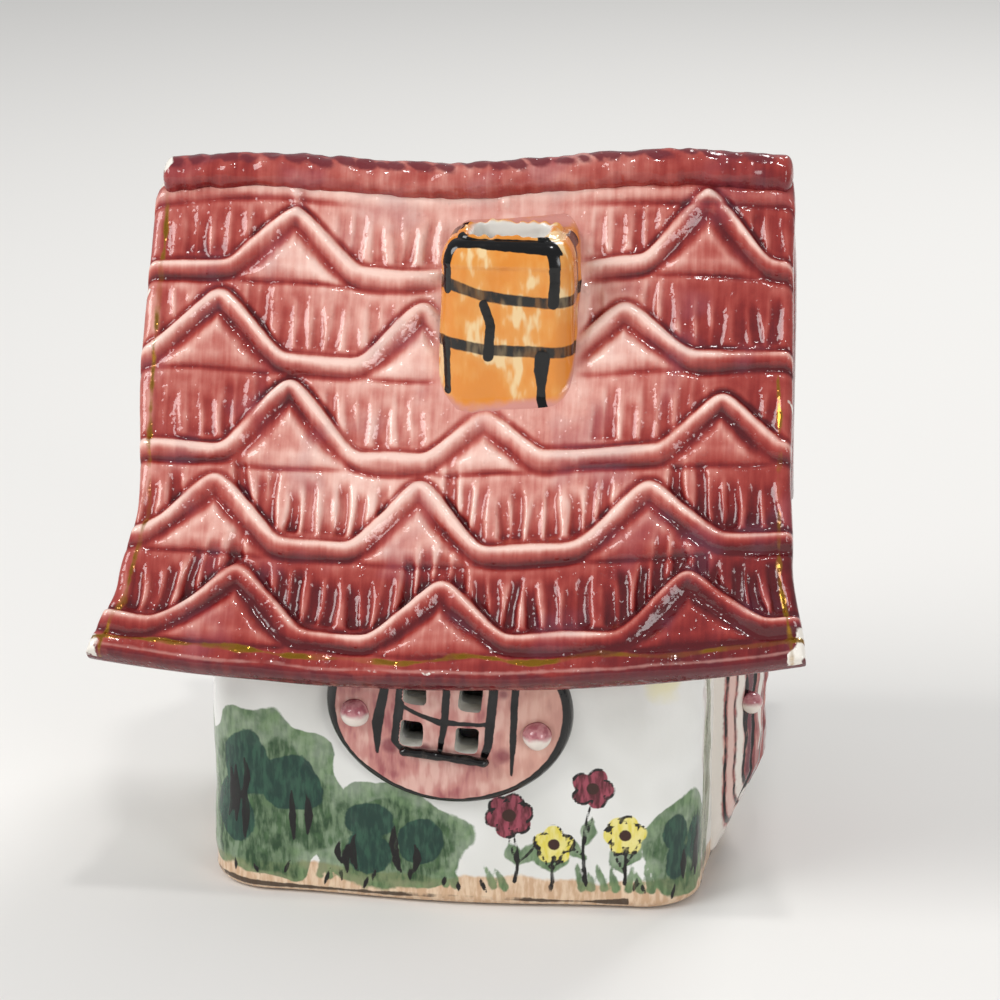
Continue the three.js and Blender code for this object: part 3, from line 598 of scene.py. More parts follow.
# Darker towards both verges and the lower rows: partly the glaze's own deeper colour, partly painted shade
to_left = add(tree, "ShaderNodeMapRange", (where.outputs["X"], -0.018, -0.056, 0.0, 0.21), **eased)
to_right = add(tree, "ShaderNodeMapRange", (where.outputs["X"], 0.02, 0.056, 0.0, 0.35), **eased)
lower = add(tree, "ShaderNodeMapRange", (down, 68, 92, 0.0, 0.42), **eased)
fading = add(tree, "ShaderNodeMapRange", (down, 68, 92, 1.0, 0.65), **eased)
tone = add(tree, "ShaderNodeMath", (to_left, lower), operation="MAXIMUM")
tone = add(tree, "ShaderNodeMath", (to_right, fading, tone), operation="MULTIPLY_ADD")
pool_and_shade = add(tree, "ShaderNodeAttribute", attribute_name="pool_and_shade").outputs["Fac"]
tone = add(tree, "ShaderNodeMath", (pool_and_shade, 0.62, tone), operation="MULTIPLY_ADD")
for noise, amount in ((streaks, 0.26), (clouds, 0.5), (blots, 0.3)):
    tone = nudged(tree, tone, noise, amount)
tone = add(tree, "ShaderNodeMath", (tone, 0.27), operation="ADD")
ramp = add(tree, "ShaderNodeValToRGB", (tone,))
ramp.color_ramp.interpolation = "B_SPLINE"
stops = ((0.0, "#f4d3c6"), (0.22, "#dfa597"), (0.42, "#b65b51"), (0.62, "#97332d"), (0.8, "#782122"),
         (1.0, "#4d1117"))
for number, (at, colour) in enumerate(stops):
    stop = ramp.color_ramp.elements[number] if number < 2 else ramp.color_ramp.elements.new(at)
    stop.position = at
    stop.color = linear(colour)
glaze = toned(tree, grain(tree, 12), 0.52, 0.72, ramp, "#7d5268", 0.22)
fingers = grain(tree, 2.4, 2.0, (1, 0.4, 0.4))
fingered = add(tree, "ShaderNodeMapRange", (fingers, 0.4, 0.6, 0.62, 0.94), **eased)
glaze = coated(tree, glaze, (
    ("lip", 0.4, 0.6, fingered, "#5e1f27"),
    # Pale line on the eave's top edge: thin glaze and a painted highlight
    ("thin_glaze_and_highlight", 0.3, 0.3, 0.42, "#d8a399"),
    ("stroke", 0.9, 0.6, 0.92, "#68222a"),
    ("bare", 0.8, 0.15, 1.0, "#ece6dc"),
))
gold = add(tree, "ShaderNodeAttribute", attribute_name="gold").outputs["Fac"]
gold = add(tree, "ShaderNodeMapRange", (nudged(tree, gold, blots, 1.6), 2.5, 3.1, 0.0, 0.9), **eased)
rubbed = add(tree, "ShaderNodeMapRange", (grain(tree, 11, 3.0), 0.45, 0.58, 0.15, 1.0), **eased)
lustre = add(tree, "ShaderNodeMath", (gold, rubbed), operation="MULTIPLY")
glaze = add(tree, "ShaderNodeMix", (lustre, glaze, "#b08428"), data_type="RGBA")
pimples = add(tree, "ShaderNodeTexVoronoi", {"Vector": place.outputs["Object"], "Scale": 1000 / 1.7},
              feature="SMOOTH_F1")
pimples = add(tree, "ShaderNodeMapRange", (pimples, 0.32, 0.08, 0, 1), **eased)
height = add(tree, "ShaderNodeMath", (pimples, 0.35, grain(tree, 2.2)), operation="MULTIPLY_ADD")
roughness = add(tree, "ShaderNodeMapRange", (blots, 0.3, 0.7, 0.08, 0.17), **eased)
end_material(tree, glaze, roughness, height, 0.5, 0.0004, {"Metallic": lustre})

for half in (roof_front, roof_back):
    half.data.materials.append(mauve_glaze)
    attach(half, "roof")
    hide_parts("roof_shell")


# Ridge roll: a rope of clay pressed along the ridge and smoothed down with a thumb, in the roof's
# mauve glaze, with short dark brush strokes side by side across its crest.
roll_steps, roll_rings = 44, 300
along = np.linspace(-1, 1, roll_rings)
along = np.sign(along) * (1 - (1 - np.abs(along)) ** 1.15)
roll_ends = (-left_verge[0][1], right_verge[0][1])
roll_x = np.abs(along) * np.where(along < 0, *roll_ends)
turn = np.linspace(0, 2 * np.pi, roll_steps, endpoint=False)
xx, tt = np.meshgrid(roll_x, turn, indexing="ij")
end_gap = np.minimum(xx - roll_ends[0], roll_ends[1] - xx)
end_round = np.sqrt(np.clip(1 - (1 - np.clip(end_gap / 1.8, 0, 1)) ** 2, 0, 1))
dents = 0.24 * lumps(31, 5.5, xx, tt * 4) + 0.14 * lumps(32, 2.2, xx, tt * 4)
radius = (roll_radius - 0.35 + dents) * (0.15 + 0.85 * end_round)
centre_z = ridge_height + ridge_wave(xx) - roll_radius
ring_points = np.stack([xx, 1.1 * radius * np.cos(tt), centre_z + radius * np.sin(tt)], -1)
random = np.random.default_rng(33)
stroke_gap = np.full(xx.shape, far)
arc = roll_radius * (tt - np.pi / 2)
at = -65.0
while at < 64:
    wide, tall = random.uniform(0.9, 3.4), random.uniform(1.4, 2.7)
    middle, lean = random.uniform(0.8, 2.2), random.uniform(0.1, 0.9)
    for flip in (1, -1):
        away = np.hypot((xx - at - lean * (arc * flip - middle)) / wide, (arc * flip - middle) / tall)
        stroke_gap = np.minimum(stroke_gap, (away - 1) * tall)
    at += wide + random.uniform(0.8, 3.6)
# Painted shade on the roll's sides below its top; paler on its bumps, and darker at the left and middle than
# towards the right end
lower_sides_shade = np.clip(np.abs(arc) - 6.5, 0, 3) / 3
ridge_marks = {
    "pool_and_shade": 0.25 * lower_sides_shade - 0.5 * dents + 0.26 - 0.24 * ease(5, 45, xx),
    "stroke": near(stroke_gap),
    "bare": near(np.hypot(xx - roll_ends[0] - 0.5, arc * 0.6 - 1) - 1.8),
    "down": 0 * xx,
}
ridge_cord = lofted("ridge_rope", ring_points, ridge_marks)
ridge_cord.data.materials.append(mauve_glaze)
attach(ridge_cord, "roof")
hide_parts("ridge_roll")


# Chimney stack: a square tube of clay with rounded shoulders, stuck through the front slope, washed
# with ochre, lined out as blocks with a black brush, and left white inside.
chimney_top, shoulder_height, shoulder_inset = ridge_height - 12, 6.5, 3.0
lip_height, stack_columns = 0.9, 220


def stack_ring(inset, z):
    """One ring round the stack; inset draws it in from the foot's outline."""
    half = (chimney_half[0] - inset, chimney_half[1] - inset)
    return ring_at(rounded_plan((chimney_x, chimney_y), half, chimney_radius - inset / 2, stack_columns), z)


foot_plan = stack_ring(0, 0)
foot_z = slope_height(foot_plan[:, 0], foot_plan[:, 1], -1.0)
stack_rings = []
straight_rows, shoulder_rows, lip_rows = 84, 21, 11
straight_top = np.maximum(chimney_top - shoulder_height, foot_z + 1.7)
for share in np.linspace(0, 1, straight_rows):
    z = foot_z + (straight_top - foot_z) * share
    over = np.clip((z - foot_z - 1.0) / 2.6, 0, 1)
    ring = stack_ring(0.4 * share, z)
    out = ring[:, :2] - (chimney_x, chimney_y)
    flare = 0.9 * (1 - over) ** 2 + 0.2 * lumps(51, 7, ring[:, 0] * 1.3, z)
    ring[:, :2] += out / np.linalg.norm(out, axis=1)[:, None] * (flare - 0.15)[:, None]
    stack_rings.append(ring)
for turn in np.linspace(0, np.pi / 2, shoulder_rows + 1)[1:]:
    z = straight_top + (chimney_top - lip_height - straight_top) * np.sin(turn)
    stack_rings.append(stack_ring(0.4 + shoulder_inset * (1 - np.cos(turn)), z))
lip_out = 0.4 + shoulder_inset
for turn in np.linspace(0, np.pi, lip_rows + 1)[1:]:
    share = (1 - np.cos(turn)) / 2
    half = [chimney_half[i] - lip_out + (flue_half[i] - chimney_half[i] + lip_out) * share for i in (0, 1)]
    plan = rounded_plan((chimney_x, chimney_y), half, 3.4 - 0.4 * share, stack_columns)
    chips = 0.35 * lumps(52, 1.6, plan[:, 0], plan[:, 1]) + 0.2 * lumps(53, 5, plan[:, 0], plan[:, 1])
    stack_rings.append(ring_at(plan, chimney_top - lip_height + (lip_height + chips) * np.sin(turn)))
flue_fine = rounded_plan((chimney_x, chimney_y), flue_half, 3.0, stack_columns)
flue_foot = slope_height(flue_fine[:, 0], flue_fine[:, 1], -1.0)
for share in np.linspace(0, 1, 16)[1:]:
    wave = 0.25 * lumps(54, 6, flue_fine[:, 0], share * 30)[:, None]
    z = chimney_top - lip_height + (flue_foot - chimney_top + lip_height) * share
    stack_rings.append(ring_at(flue_fine + wave * 0.3, z))
stack_rings = np.array(stack_rings)
ring_number = np.arange(len(stack_rings))[:, None]
lip_middle = straight_rows + shoulder_rows + lip_rows // 2
plan_run = run_along(foot_plan[:, :2])
from_front = np.hypot(foot_plan[:, 0] - chimney_x, foot_plan[:, 1] - chimney_y + chimney_half[1])
front_middle = plan_run[np.argmin(from_front)]
stack_across = np.broadcast_to(plan_run - front_middle, stack_rings.shape[:2])
whole_run = plan_run[-1] + plan_run[1]
stack_across = (stack_across + whole_run / 2) % whole_run - whole_run / 2
stack_z = stack_rings[:, :, 2]


def brush_gap(a, b, points, widths):
    """Signed distance to a brush stroke through points, as wide as widths along it."""
    nearest = np.full(np.broadcast(a, b).shape, far)
    for start, end, first, last in zip(points[:-1], points[1:], widths[:-1], widths[1:]):
        run = np.subtract(end, start)
        share = np.clip(((a - start[0]) * run[0] + (b - start[1]) * run[1]) / max(run @ run, 1e-9), 0, 1)
        gap = np.hypot(a - start[0] - share * run[0], b - start[1] - share * run[1])
        nearest = np.minimum(nearest, gap - (first + (last - first) * share) / 2)
    return nearest


def lines_gap(a, b, lines):
    """Signed distance to the nearest of several brush strokes."""
    return np.minimum.reduce([brush_gap(a, b, points, widths) for points, widths in lines])


# Block lines as (points across and up, widths), drawn thick below the rim and thin between courses
front_column = int(np.argmin(np.abs(stack_across[0])))
ring_run = run_along(stack_rings[:, front_column])
from_lip = (ring_run[np.argmax(stack_z[:, front_column])] - ring_run)[:, None]
block_lines = [
    ([(-12.4, 144), (-12.8, 139.5), (-13.1, 134), (-12.9, 129.5)], (4.0, 3.2, 2.3, 2.4)),
    ([(12.3, 144), (11.7, 140), (10.7, 137.5), (10.8, 132), (10.4, 127)], (2.6, 3.4, 2.8, 2.3, 2.4)),
    ([(-4.7, 126.5), (-3.1, 122), (-3.6, 115.4)], (1.9, 1.9, 2.3)),
    ([(-12.9, 118), (-12.9, 113), (-12.6, 107.8)], (2.3, 1.9, 1.8)),
    ([(8.0, 115.4), (7.7, 112.5), (7.6, 109), (7.5, 103.7)], (3.2, 2.9, 1.7, 2.0)),
    ([(22.5, 138), (22.9, 133), (22.4, 128)], (2.0, 1.8, 1.4)),
    ([(28.5, 127), (28.0, 122), (28.4, 117.5)], (1.6, 2.0, 1.4)),
    ([(36.0, 138), (36.3, 134), (36.0, 129)], (2.2, 1.8, 1.6)),
    ([(-21.0, 128), (-20.6, 123), (-21.0, 118)], (1.8, 1.6, 1.9)),
    ([(-29.6, 138), (-29.2, 134), (-29.6, 129.5)], (2.2, 1.8, 1.6)),
]
line_wave = 0.35 * lumps(55, 16, stack_across, 0 * stack_across)
first_course = np.interp(stack_across, (-45, -20, -13.5, -5, 0, 9, 30, 45),
                         (128, 129.6, 130.6, 128.2, 127.6, 127.2, 128.2, 128))
second_course = np.interp(stack_across, (-45, -13.5, -4, 45), (117.2, 118.0, 116.6, 117.2))
band_half = 1.75 + 0.3 * lumps(56, 7, stack_across, 0 * stack_z)
stack_ink = np.abs(from_lip - 2.7 - 0.05 * stack_across - line_wave * 0.6) - band_half
stack_ink = stack_ink + 4 * ease(chimney_top - 5.6, chimney_top - 4.8, straight_top)
for corner, clear in ((-17.5, 2.9), (17.6, 4.6)):
    stack_ink = np.maximum(stack_ink, clear - np.abs(stack_across - corner))
wash_ink = np.minimum(np.abs(stack_z - first_course - line_wave) - 1.15 - 0.25 * ease(-8, -14, stack_across),
                      np.abs(stack_z - second_course - line_wave) - 1.2)
stack_ink = np.minimum(stack_ink, lines_gap(stack_across, stack_z, block_lines))
outer_rows = ring_number < lip_middle
foot_gap = stack_z - foot_z[None, :] - 2.3 - 0.8 * lumps(57, 5, stack_across, stack_z)
stack_marks = {
    "ink": near(np.where(outer_rows, stack_ink, far)),
    "wash": near(np.where(outer_rows, wash_ink, far)),
    "foot": near(np.where(outer_rows, foot_gap, far)),
    "inside": np.broadcast_to(ease(lip_middle + 0.5, lip_middle + 3.5, ring_number), stack_z.shape),
}
chimney = lofted("chimney", stack_rings, stack_marks, around=True)

# Ochre glaze, brushed on in short wet dabs, so its colour shifts between deep orange and pale
# straw. The black is a thick glossy stain, and it is thinned to a see-through grey in the courses.
ochre_glaze, tree = new_material("ochre_glaze_brushed")
dabs, dab_edges = grain(tree, 8, 2.0, (1, 1, 0.8)), grain(tree, 1.8, 2.0, (1, 1, 0.3))
tone = nudged(tree, dabs, dab_edges, 0.35)
ochre = toned(tree, tone, 0.4, 0.58, "#dc8a36", "#e09a4c")
ochre = toned(tree, tone, 0.54, 0.62, ochre, "#e9c995")
thinned = add(tree, "ShaderNodeMapRange", (dab_edges, 0.4, 0.66, 1.0, 0.82), **eased)
ochre = coated(tree, ochre, (
    ("foot", 1.0, 1.1, 1.0, "#c98b80"),
    ("wash", 0.25, 0.2, thinned, "#1b1916"),
    ("ink", 0.25, 0.1, 1.0, "#060505"),
))
inside = add(tree, "ShaderNodeAttribute", attribute_name="inside").outputs["Fac"]
ochre = add(tree, "ShaderNodeMix", (inside, ochre, "#e9e6df"), data_type="RGBA")
height = add(tree, "ShaderNodeMath", (painted(tree, "ink", 0.25, 0.4), 0.5, grain(tree, 2.4)),
             operation="MULTIPLY_ADD")
roughness = add(tree, "ShaderNodeMapRange", (dabs, 0.3, 0.7, 0.1, 0.2), **eased)
end_material(tree, ochre, roughness, height, 0.35)
chimney.data.materials.append(ochre_glaze)
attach(chimney, "roof")
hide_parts("chimney_stack")


# House walls: four bowed slabs of clay joined at rounded corners, with gables that run up under the
# roof. They are glazed white and painted round with a garden in thin washes and black brush lines.
corner_radius, wall_thickness, foot_radius, seat_gap = 13.0, 5.0, 2.4, 0.3
left_wall_stretch, front_steps = 1.03, 130


def bow(along, half_straight):
    return wall_bow * np.cos(np.clip(np.abs(along) / half_straight, 0, 1) * np.pi / 2) ** 2


def house_plan(inset, long_steps=front_steps, short_steps=102, corner_steps=34):
    """Outline of the house drawn in by inset, anticlockwise from the front wall's left end."""
    radius = max(corner_radius - inset, 1)
    points = []
    for number in range(4):
        angle = (number - 1) * np.pi / 2
        out, run = np.array([np.cos(angle), np.sin(angle)]), np.array([-np.sin(angle), np.cos(angle)])
        is_long = number % 2 == 0
        reach = (wall_half_depth if is_long else wall_half_length) - inset
        half = (wall_half_length if is_long else wall_half_depth) - inset - radius
        full_half = (wall_half_length if is_long else wall_half_depth) - corner_radius
        along = half * np.linspace(-1, 1, long_steps if is_long else short_steps, endpoint=False)[:, None]
        points.append(out * (reach + bow(along, full_half)) + run * along)
        turn = (angle + np.linspace(0, 1, corner_steps, endpoint=False) * np.pi / 2)[:, None]
        spoke = np.concatenate([np.cos(turn), np.sin(turn)], 1)
        points.append(out * (reach - radius) + run * half + radius * spoke)
    plan = np.concatenate(points)
    plan[:, 0] *= np.where(plan[:, 0] < 0, left_wall_stretch, 1)
    return plan


outer_plan, inner_plan = house_plan(0), house_plan(wall_thickness)
wall_top = slope_height(outer_plan[:, 0], outer_plan[:, 1], -roof_thickness - seat_gap)
inner_top = slope_height(inner_plan[:, 0], inner_plan[:, 1], -roof_thickness - seat_gap)
side_run = np.linalg.norm(np.diff(outer_plan, axis=0, append=outer_plan[:1]), axis=1)
wall_run = np.concatenate([[0], np.cumsum(side_run)[:-1]])
whole_wall = side_run.sum()
wall_run = (wall_run - wall_run[front_steps // 2] + whole_wall / 2) % whole_wall - whole_wall / 2
foot_rows, wall_rows = 6, 122
wall_rings = [ring_at(house_plan(foot_radius * (1 - np.sin(turn))), foot_radius * (1 - np.cos(turn)))
              for turn in np.linspace(0, np.pi / 2, foot_rows)]
for share in np.linspace(0, 1, wall_rows)[1:]:
    z = foot_radius + (wall_top - 0.6 - foot_radius) * share
    wave = 0.22 * lumps(61, 16, wall_run, z) + 0.1 * lumps(62, 5, wall_run, z)
    out = outer_plan / np.linalg.norm(outer_plan, axis=1)[:, None]
    wall_rings.append(ring_at(outer_plan + out * (wave * ease(0, 0.08, share) - 0.1)[:, None], z))
wall_rings.append(ring_at(outer_plan * 0.92 + inner_plan * 0.08, wall_top - 0.1))
for outer, inner in ((0.8, 0.2), (0.1, 0.9)):
    wall_rings.append(ring_at(outer_plan * outer + inner_plan * inner, wall_top * outer + inner_top * inner))
wall_rings += [ring_at(inner_plan, inner_top * share) for share in (0.99, 0.85, 0.7, 0.5, 0.3, 0.1, 0)]
wall_rings = np.array(wall_rings)
painted_rows = foot_rows + wall_rows - 1
a = np.broadcast_to(wall_run, (painted_rows, len(wall_run)))
b = wall_rings[:painted_rows, :, 2]
paints = ("leaf", "moss", "teal", "ink", "sun", "wine", "sand", "heart", "blush")
away = {name: np.full(a.shape, far) for name in paints}


def paint(name, gap):
    away[name] = np.minimum(away[name], gap)


def across_from(middle):
    """Distance along the wall from a place, either way round the house."""
    return (a - middle + whole_wall / 2) % whole_wall - whole_wall / 2


def arc_stroke(name, middle, up, points, widths):
    """A curved brush stroke through three points, from thin to thick to thin."""
    share = np.linspace(0, 1, 7)[:, None]
    p, q, r = (np.array(point, float) for point in points)
    line = (1 - share) ** 2 * p + 2 * share * (1 - share) * q + share ** 2 * r
    paint(name, brush_gap(across_from(middle), b - up, line.tolist(),
                          np.interp(share[:, 0], (0, 0.5, 1), widths)))


def blob_gap(middle, up, half_across, half_up, seed, uneven=0.12):
    x, y = across_from(middle) / half_across, (b - up) / half_up
    return (np.hypot(x, y) - 1 + uneven * lumps(seed, 7, a, b)) * min(half_across, half_up)


def shrub(middle, up, half_across, half_up, seed):
    """A clipped round shrub: a pale wash, mossy dabs, two dark teal pools and a few black twigs."""
    random = np.random.default_rng(seed)
    outline = blob_gap(middle, up, half_across, half_up, seed)
    paint("leaf", outline)
    paint("moss", np.maximum(outline + 1.4, blob_gap(middle + 0.1 * half_across, up - 0.15 * half_up,
                                                    0.86 * half_across, 0.8 * half_up, seed + 1, 0.3)))
    for turn in (0.3, 2.4, 4.2):
        turn += random.uniform(-0.5, 0.5)
        x, y = middle + 0.42 * half_across * np.cos(turn), up + 0.36 * half_up * np.sin(turn)
        wide, tall = random.uniform(0.26, 0.36) * half_across, random.uniform(0.3, 0.44) * half_up
        pool_and_shade = blob_gap(x, y, wide, tall, seed + 5)
        paint("teal", np.maximum(pool_and_shade, outline + 1))
    for _ in range(6):
        x, y = random.uniform(-0.6, 0.6) * half_across, random.uniform(-0.45, 0.2) * half_up
        bend, rise = random.uniform(-2.6, 2.6), random.uniform(0.4, 0.7) * half_up
        arc_stroke("ink", middle + x, up + y, ((0, -rise / 2), (bend, 0), (bend * 0.3, rise / 2)),
                   (0.6, random.uniform(1.5, 2.6), 0.4))


def cypress(middle, foot, half_across, tall, seed):
    """A slim pointed tree in thin olive wash."""
    rise = np.clip((b - foot) / tall, 0, 1)
    width = half_across * np.sin(np.pi * np.clip(rise, 0.02, 1) ** 0.6) ** 0.8 + 0.2
    gap = np.abs(across_from(middle)) - width - 0.8 * lumps(seed, 8, a, b)
    gap = np.maximum(gap, np.abs(b - foot - tall / 2) - tall / 2)
    paint("leaf", gap)
    paint("moss", np.maximum(gap + 1.6, -across_from(middle) - 1 + lumps(seed + 1, 6, a, b)))
    for step in range(5):
        up = foot + tall * (0.15 + 0.15 * step)
        lean = 1 if step % 2 else -1
        arc_stroke("ink", middle, up, ((0, 0), (lean * 1.6, 1.2), (lean * 2.6, 4.2)), (0.5, 1.0, 0.2))


def blossom(middle, up, size, petals, colour, seed, foot=6.0):
    """A round open flower with blunt petals, on a thin stem with two oval leaves."""
    random = np.random.default_rng(seed)
    sway = random.uniform(-3, 3)
    stem = ((sway * 0.4, foot), (sway, (foot + up) / 2), (0, up - size * 0.6))
    arc_stroke("ink", middle, 0, stem, (0.9, 0.6, 0.45))
    for lean in (-1, 1):
        reach = random.uniform(4.0, 6.0)
        height = foot + (up - foot) * random.uniform(0.15, 0.45)
        leaf = ((sway * 0.5, 0), (sway + lean * 2.2, reach * 0.5), (sway + lean * 2.9, reach))
        vein = ((sway * 0.5, 0), (sway + lean * 2.0, reach * 0.5), (sway + lean * 3.1, reach + 0.8))
        arc_stroke("leaf", middle, height, leaf, (1.0, 3.6, 0.6))
        arc_stroke("ink", middle, height, vein, (0.3, 0.6, 0.2))
    for number in range(petals):
        turn = 2 * np.pi * number / petals + random.uniform(-0.15, 0.15) + seed
        x, y = across_from(middle) - 0.6 * size * np.cos(turn), b - up - 0.6 * size * np.sin(turn)
        petal = (np.hypot(x, y) / (0.46 * size) - 1) * 0.46 * size
        paint(colour, petal)
        ring = np.abs(petal + 0.1) - 0.3
        outside = np.hypot(across_from(middle), b - up) > 0.62 * size
        paint("ink", np.where(outside & (lumps(seed + number, 4, a, b) > -0.3), ring, far))
    paint("heart", np.hypot(across_from(middle), b - up) - 0.3 * size)


# The garden, front first and then on round the right gable, the back and the left gable
shrub(-42, 22, 19, 19.5, 611)
shrub(-14, 14.5, 18, 12.5, 612)
cypress(-64, 6, 7.5, 58, 613)
blossom(12.0, 21.0, 4.9, 6, "wine", 615)
blossom(21.5, 14.5, 4.2, 5, "sun", 616)
blossom(29.5, 27.5, 4.4, 5, "wine", 617)
blossom(36.5, 17.0, 4.4, 6, "sun", 618)
shrub(50, 14, 9.5, 11.5, 619)
cypress(64, 6, 5.5, 52, 620)
shrub(118, 15, 12, 13, 621)
shrub(140, 22, 17, 18, 622)
blossom(160, 19, 5.0, 5, "wine", 623)
blossom(168, 27, 4.8, 6, "sun", 624)
blossom(176, 17, 4.6, 5, "wine", 625)
shrub(-163, 15, 13, 12, 626)
blossom(-146, 22, 4.8, 6, "sun", 627)
cypress(-131, 6, 7.0, 56, 628)
shrub(-113, 16, 14, 14, 629)
blossom(-96, 27, 4.8, 5, "wine", 630)
blossom(-88, 18, 4.6, 6, "sun", 631)
for middle, up in ((44, 52), (-50, 60), (66, 50), (-84, 70), (-108, 66), (150, 50), (-150, 52)):
    paint("blush", blob_gap(middle, up, 5, 8, 640, 0.3) + 1.5)
ground = 6.4 + 1.3 * lumps(641, 24, a, 0 * a) + 0.6 * lumps(642, 7, a, 0 * a)
paint("sand", b - ground)
random = np.random.default_rng(643)
at = -whole_wall / 2
while at < whole_wall / 2:
    lean = random.uniform(-2.4, 2.4)
    height = random.uniform(2.5, 5.5)
    if random.uniform() < 0.5:
        blade = ((0, -1.2), (lean * 0.4, 1.2), (lean, height))
        arc_stroke("leaf", at, ground.mean() - 0.8, blade, (1.8, 1.6, 0.3))
    if random.uniform() < 0.42:
        blade = ((0, -0.8), (lean * 0.4, 0.6), (lean, height * 0.6))
        arc_stroke("ink", at + 1, random.uniform(2.6, 5.8), blade, (0.3, 1.0, 0.2))
    at += random.uniform(1.6, 3.4)
foot_line = np.abs(b - 1.9 - 0.35 * lumps(644, 18, a, 0 * a)) - 0.5 - 0.35 * lumps(645, 9, a, 0 * a)
away["foot"] = np.where(lumps(646, 21, a, 0 * a) > -0.35, foot_line, far)
wall_marks = {}
for name, gap in away.items():
    values = np.zeros(wall_rings.shape[:2])
    values[:painted_rows] = near(gap)
    wall_marks[name] = values
walls = lofted("walls", wall_rings, wall_marks, around=True)

window_x, window_z, window_tilt = -0.6, 45.0, np.radians(-5)
pane_shift, pane_pitch, pane_size = (-1.1, -0.4), (11.7, 9.4), (4.8, 5.6)


def front_face(x):
    return -(wall_half_depth + bow(x, wall_half_length - corner_radius))


def window_place(across, up):
    """A place on the window, which hangs a little askew, as x and z."""
    return (window_x + across * np.cos(window_tilt) - up * np.sin(window_tilt),
            window_z + across * np.sin(window_tilt) + up * np.cos(window_tilt))


def pane_cutters(name):
    """Four soft-cornered blocks that pass through the pad and the wall."""
    blocks = []
    for column in (-1, 1):
        for line in (-1, 1):
            middle = (pane_shift[0] + column * pane_pitch[0] / 2, pane_shift[1] + line * pane_pitch[1] / 2)
            plan = rounded_plan(middle, (pane_size[0] / 2, pane_size[1] / 2), 0.9, 40)
            plan += 0.12 * np.stack([lumps(seed, 2.5, plan[:, 0], plan[:, 1]) for seed in (650, 651)], -1)
            x, z = window_place(plan[:, 0], plan[:, 1])
            rings = [np.column_stack([x, np.full(len(x), y), z]) for y in (-30.0, -60.0)]
            blocks.append(lofted(f"{name}_{column}_{line}", rings))
    return blocks


for cutter in pane_cutters("wall_pane"):
    cut(walls, cutter)

# White tin glaze, glossy and faintly uneven, with underglaze colours in watery washes, which are
# streaked by the brush and thin in places.
garden_glaze, tree = new_material("white_glaze_painted")
brush, mottle = grain(tree, 1.1, 3.0, (1, 1, 0.28)), grain(tree, 4.2, 3.0)
white = toned(tree, grain(tree, 22), 0.35, 0.65, "#eeeeea", "#e3e3de")
blush = add(tree, "ShaderNodeMath", (painted(tree, "blush", 1.5, 1.4, 4.0), 0.4), operation="MULTIPLY")
white = add(tree, "ShaderNodeMix", (blush, white, "#e6d868"), data_type="RGBA")
sand = toned(tree, brush, 0.35, 0.65, "#e6c6a2", "#c99b6e")
pale_leaf = toned(tree, brush, 0.35, 0.68, "#4c6c43", "#708d61")
moss = toned(tree, mottle, 0.4, 0.62, "#234226", "#44643d")
teal = toned(tree, brush, 0.4, 0.7, "#12362f", "#24503f")
sun = toned(tree, brush, 0.35, 0.65, "#e3d23c", "#eee28a")
wine = toned(tree, brush, 0.36, 0.66, "#571c26", "#a3495a")
leaf_thin = add(tree, "ShaderNodeMapRange", (mottle, 0.3, 0.7, 0.97, 0.78), **eased)
moss_thin = add(tree, "ShaderNodeMapRange", (brush, 0.36, 0.62, 0.95, 0.42), **eased)
ink_thin = add(tree, "ShaderNodeMapRange", (brush, 0.5, 0.75, 1.0, 0.8), **eased)
coat = coated(tree, white, (
    ("sand", 0.7, 0.5, 0.85, sand),
    ("leaf", 0.5, 0.25, leaf_thin, pale_leaf),
    ("moss", 1.3, 0.9, moss_thin, moss),
    ("teal", 0.6, 0.25, 0.93, teal),
    ("sun", 0.25, 0.2, 0.93, sun),
    ("wine", 0.25, 0.15, 1.0, wine),
    ("heart", 0.2, 0.15, 1.0, "#3a1c14"),
    ("foot", 0.3, 0.15, 0.9, "#2a1c12"),
    ("ink", 0.2, 0.12, ink_thin, "#100d0e"),
))
height = add(tree, "ShaderNodeMath", (painted(tree, "ink", 0.2, 0.4), 0.5, grain(tree, 3.2)),
             operation="MULTIPLY_ADD")
dabbed = add(tree, "ShaderNodeMath", (mottle, 1.6), operation="MULTIPLY")
height = add(tree, "ShaderNodeMath", (painted(tree, "moss", 1.3, 0.9), dabbed, height),
             operation="MULTIPLY_ADD")
roughness = add(tree, "ShaderNodeMapRange", (mottle, 0.3, 0.7, 0.09, 0.16), **eased)
end_material(tree, coat, roughness, height, 0.3)
walls.data.materials.append(garden_glaze)
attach(walls, "house")
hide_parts("house_walls")


# Window: an oval pad of clay pressed on the front wall, with four panes cut through it and the
# wall, a rolled black sill and two shutters, each with a round knob. Black lines part the shutters.
window_half, window_relief, window_dome = (26.0, 20.5), 3.6, 0.9
